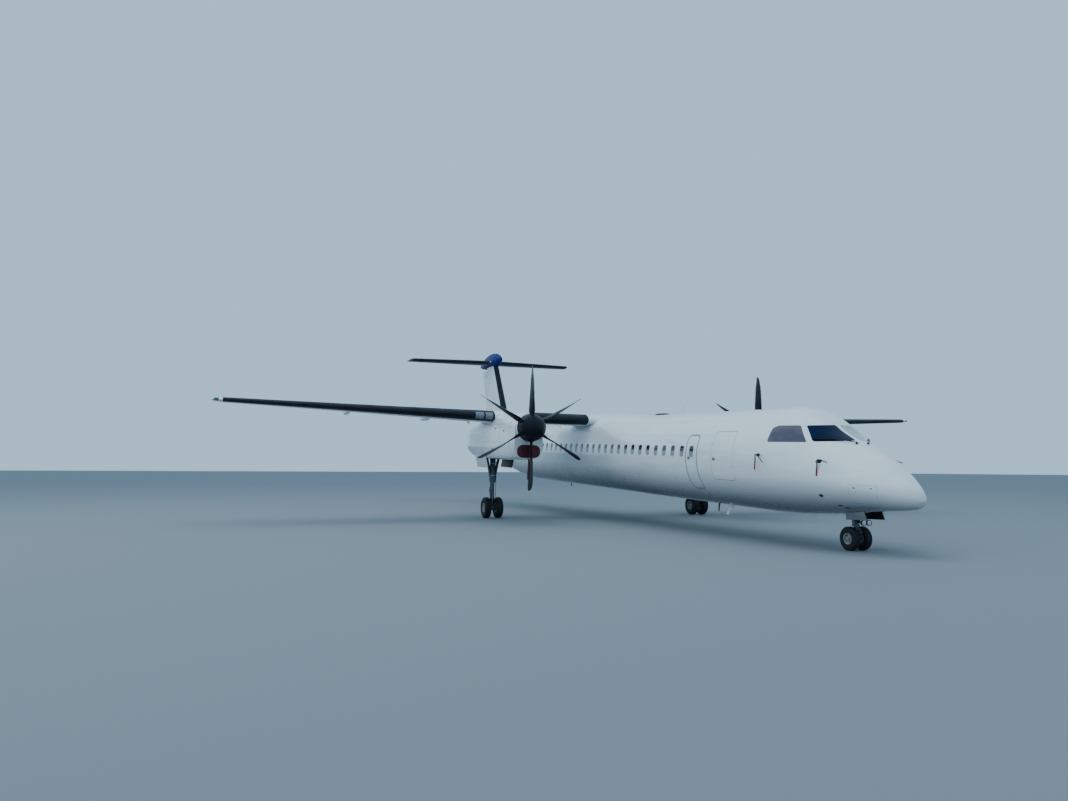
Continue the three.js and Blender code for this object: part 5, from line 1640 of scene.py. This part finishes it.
for hand, side in HANDS:
    lining = below_hull(NOSE_DOOR, side, DOOR_HINGE, DOOR_MIDDLE)
    node = f"nose_gear_door_{hand}"
    piece(f"nose_door_lining_{hand}", lining, painted_shade_black, "airframe", "door_dark", node)
    leaf = below_hull(NOSE_DOOR, side, DOOR_MIDDLE - 0.001, DOOR_HINGE + 0.022)
    piece(f"nose_door_skin_{hand}", leaf, white_gloss, "airframe", "airframe_paint")


def belly(station, y, proud=0.0):
    """The skin under the nose, from a station and a y."""
    def flat(along, across):
        row = smooth_row(HULL, along)
        return spot(along, across, row[4] - (row[4] - row[2]) * math.sqrt(1 - (across / row[3]) ** 2))

    out = (flat(station + 0.004, y) - flat(station - 0.004, y)).cross(
        flat(station, y + 0.004) - flat(station, y - 0.004)).normalized()
    return flat(station, y) + proud * (out if out.z < 0 else -out)


FRONT_DOORS_START, FRONT_DOORS_HALF = 0.80, 0.235
paths = [
    ((FRONT_DOORS_START, y), (NOSE_BAY[0][0], y)) for y in (-FRONT_DOORS_HALF, 0, FRONT_DOORS_HALF)
]
paths.append(((FRONT_DOORS_START, -FRONT_DOORS_HALF), (FRONT_DOORS_START, FRONT_DOORS_HALF)))
front_doors = [line_on(belly, between(*path, 12), SEAM * 0.7, 0.0006) for path in paths]
piece("front_nose_door_seams", together(front_doors), joint_sealant, "airframe", "gear_steel")

# Tail: a swept fin with two rudders in line, one behind the other, and a stabilizer on top,
# held in a bullet shaped fairing. Boots cover the leading edges.
# height, leading edge, fore rudder hinge, trailing edge
FIN = [(1.100, 27.200, 29.608, 30.857), (4.700, 29.576, 31.203, 32.401)]
FIN_THICKNESS, REAR_HINGE = 0.12, 0.56


def fin_spot(height, x, z):
    """A point of the fin from its distance behind the leading edge and out to port."""
    _, front, _, _ = straight_row(FIN, height)
    return spot(front + x, z, height)


def fin_loft(heights, start, end):
    """A leaf of the fin between two places along its chord, each with a shift."""
    rings = []
    for height in heights:
        _, front, hinge, rear = straight_row(FIN, height)
        chord = rear - front
        places = {"start": front, "hinge": hinge, "split": hinge + REAR_HINGE * (rear - hinge), "end": rear}
        first, last = ((places[place] + shift - front) / chord for place, shift in (start, end))
        rings.append([fin_spot(height, x, z) for x, z in foil(chord, FIN_THICKNESS, first, last, 0)])
    return loft(rings)


# y, leading edge, height, chord, thickness ratio
STABILIZER = [
    (0.000, 29.780, 4.765, 2.100, 0.12), (4.540, 30.370, 4.765, 1.360, 0.13),
    (4.635, 30.520, 4.765, 1.130, 0.06),
]
# shares of the chord
STABILIZER_CUT, ELEVATOR_START = 0.62, 0.67
# station, top, bottom, half width, height of the widest point
BULLET = [
    (28.800, 4.885, 4.885, 0.000, 4.885), (28.870, 4.975, 4.800, 0.080, 4.880),
    (29.200, 5.130, 4.640, 0.190, 4.860), (29.700, 5.265, 4.520, 0.265, 4.840),
    (30.300, 5.300, 4.455, 0.290, 4.820), (31.000, 5.240, 4.450, 0.275, 4.790),
    (31.700, 5.060, 4.500, 0.195, 4.750), (32.300, 4.890, 4.590, 0.100, 4.725),
    (32.880, 4.715, 4.715, 0.000, 4.715),
]
# Deep blue polyurethane of the fairing on the tail's tip.
blue_gloss = vary(
    material("polyurethane_gloss_blue", "#08185E", 0.45, Specular_IOR_Level=0.3), ("#0A1F74", "#07175A"),
    0.8,
)


def stabilizer_spot(y, x, z):
    """A point of the stabilizer from its distance behind the leading edge and its rise."""
    _, station, height, _, _ = straight_row(STABILIZER, abs(y))
    return spot(station + x, y, height + z)


def stabilizer_loft(ys, start, end):
    """A length of the stabilizer between two fractions of its chord."""
    rings = []
    for y in ys:
        _, _, _, chord, thickness = straight_row(STABILIZER, abs(y))
        rings.append([stabilizer_spot(y, x, z) for x, z in foil(chord, thickness, start, end, 0)])
    return loft(rings)


piece(
    "fin_skin", fin_loft(steps(1.1, 4.62, 0.22), ("start", 0), ("hinge", -0.165)), white_gloss, "airframe",
    "airframe_paint", "fin",
)
# station and height of the ridge's crest
RIDGE = [(24.5, 1.33), (26.7, 1.64), (28.3, 2.30), (29.0, 2.30)]
ridge = []
for key in steps(24.5, 29.0, 0.15):
    _, top = straight_row(RIDGE, key)
    wide = 0.045 + 0.04 * min(1.0, (key - 24.5) / 3)
    flank = [(wide, 1.2), (0.045, top - 0.05), (0.03, top - 0.012)]
    section = [(-y, h) for y, h in flank] + [(0, top)] + flank[::-1]
    ridge.append([spot(key, y, h) for y, h in section])
piece("dorsal_ridge", loft(ridge), white_gloss, "airframe", "airframe_paint", sharp=40)
rudder_heights = steps(1.335, 4.370, 0.25)
piece(
    "fore_rudder_skin", fin_loft(rudder_heights, ("hinge", 0), ("split", -0.09)), white_gloss,
    "fore_rudder", "airframe_paint", "fore_rudder",
)
piece(
    "trailing_rudder_skin", fin_loft(rudder_heights, ("split", 0), ("end", 0)), white_gloss,
    "trailing_rudder", "airframe_paint", "trailing_rudder",
)
# Painted shade: slate grey gloss on the faces under the tailplane and round its tips, which
# makes it one dark bar from below, as it lies in shadow.
painted_shade_slate = vary(material("polyurethane_gloss_painted_shade", "#26384A", 0.35), ("#2C4054", "#1E2D3B"), 0.4)


def paint_shade_beneath(made, tip=9.0):
    """Paints shade on the faces that look down, and on those beyond a y, in slate grey."""
    made.data.materials.append(painted_shade_slate)
    for face in made.data.polygons:
        if face.normal.z < -0.05 or abs(face.center.y) > tip:
            face.material_index = 1
    return made


tail_plane = [stabilizer_loft(steps(-4.54, 4.54, 0.35), 0, STABILIZER_CUT)]
tips = [[side * y for y in (4.49, 4.54, 4.57, 4.60, 4.635)] for side in (1, -1)]
tail_plane += [stabilizer_loft(ys, 0, 1) for ys in tips]
tail_skin = paint_shade_beneath(make("stabilizer_skin", together(tail_plane), white_gloss), 4.53)
fix(tail_skin, "airframe", "airframe_paint", "stabilizer")
for hand, side in HANDS:
    leaf = make(
        f"elevator_skin_{hand}",
        stabilizer_loft([side * y for y in steps(0.42, 4.47, 0.4)], ELEVATOR_START, 1), white_gloss,
    )
    fix(paint_shade_beneath(leaf), f"elevator_{hand}", "airframe_paint", f"elevator_{hand}")
bullet_stations = (
    28.8, 28.805, 28.815, 28.83, 28.85, *steps(28.87, 32.3, 0.09), *steps(32.3, 32.88, 0.08)[1:],
)
piece(
    "bullet_shell", loft([hoop(smooth_row(BULLET, s), 72, grow=-0.003) for s in bullet_stations]),
    blue_gloss, "airframe", "blue_paint", "bullet_fairing",
)
tail_boots = [
    boot_on(stabilizer_spot, STABILIZER, [side * y for y in steps(0.33, 4.53, 0.4)], 0.12, 0)
    for side in (1, -1)
]
fin_boot = []
for height in steps(2.07, 4.60, 0.24):
    _, front, _, rear = straight_row(FIN, height)
    fin_boot.append([fin_spot(height, x, z) for x, z in boot_section(rear - front, FIN_THICKNESS, 0.10, 0)])
tail_boots.append(loft(fin_boot))
piece("tail_boots", together(tail_boots), neoprene_boot, "airframe", "tyre_rubber")

# Static wicks: thin carbon rods in plastic sleeves, screwed to the outer trailing edges. They
# bleed off the charge that the airframe picks up in cloud.
def trailing(spot_at, table, side, keys):
    """Places along a trailing edge, looking aft."""
    return [(spot_at(side * y, straight_row(table, y)[3] - 0.01, 0), -FORWARD, UPWARD) for y in keys]


for hand, side in HANDS:
    for surface, places in (
        ("aileron", trailing(wing_spot, WING, side, (10.8, 11.6, 12.4, 13.2, 13.7))),
        ("elevator", trailing(stabilizer_spot, STABILIZER, side, (3.0, 3.6, 4.2))),
    ):
        wicks = set_out(f"{surface}_wicks_{hand}", places, probe_black, 0.008, 0.14, taper=0.4, sides=6)
        fix(wicks, f"{surface}_{hand}", "gear_steel")

# Wing tip lights: a red glass to port and a green one to starboard, moulded to the leading edge
# and screwed over the lamps.
red_glass = material("red_navigation_glass", "#7A1414", 0.12, Coat_Weight=0.6)
green_glass = material("green_navigation_glass", "#0F5A3A", 0.12, Coat_Weight=0.6)
for (hand, side), glass in zip(HANDS, (red_glass, green_glass)):
    cover = boot_on(wing_spot, WING, [side * y for y in (14.0, 14.05, 14.10, 14.15)], 0.10, proud=0.004)
    piece(f"tip_light_{hand}", cover, glass, "airframe", "cockpit_glass")

# The floor and the light of a plain studio: a pale sheet, one broad soft light above the
# starboard side, one overhead, a weaker one ahead, and an even pale sky.
FLOOR = 400
corners = [Vector((x * FLOOR, y * FLOOR, -0.001)) for x, y in ((-1, -1), (1, -1), (1, 1), (-1, 1))]
floor = make("floor", (corners, [(0, 1, 2, 3)]), material("pale_floor", "#7E868D", 0.9))
# name, power in watts, size in metres, place, where it points
LIGHTS = (
    ("overhead", 9000, 40, (4, -8, 45), (2, 0, 3)),
    ("starboard", 4200, 26, (14, -40, 15), (2, 0, 3)),
    ("ahead", 400, 14, (36, 8, 9), (12, 0, 2)),
)
for name, power, size, place, target in LIGHTS:
    lamp = bpy.data.lights.new(name, "AREA")
    lamp.energy = power
    lamp.size = size
    holder = bpy.data.objects.new(name, lamp)
    holder.location = place
    holder.visible_glossy = False
    holder.rotation_euler = (Vector(target) - Vector(place)).to_track_quat("-Z", "Y").to_euler()
    bpy.context.scene.collection.objects.link(holder)
world = bpy.data.worlds.new("studio")
world.use_nodes = True
world.node_tree.nodes["Background"].inputs["Color"].default_value = linear("#B4D9F2")
world.node_tree.nodes["Background"].inputs["Strength"].default_value = 1.05
bpy.context.scene.world = world
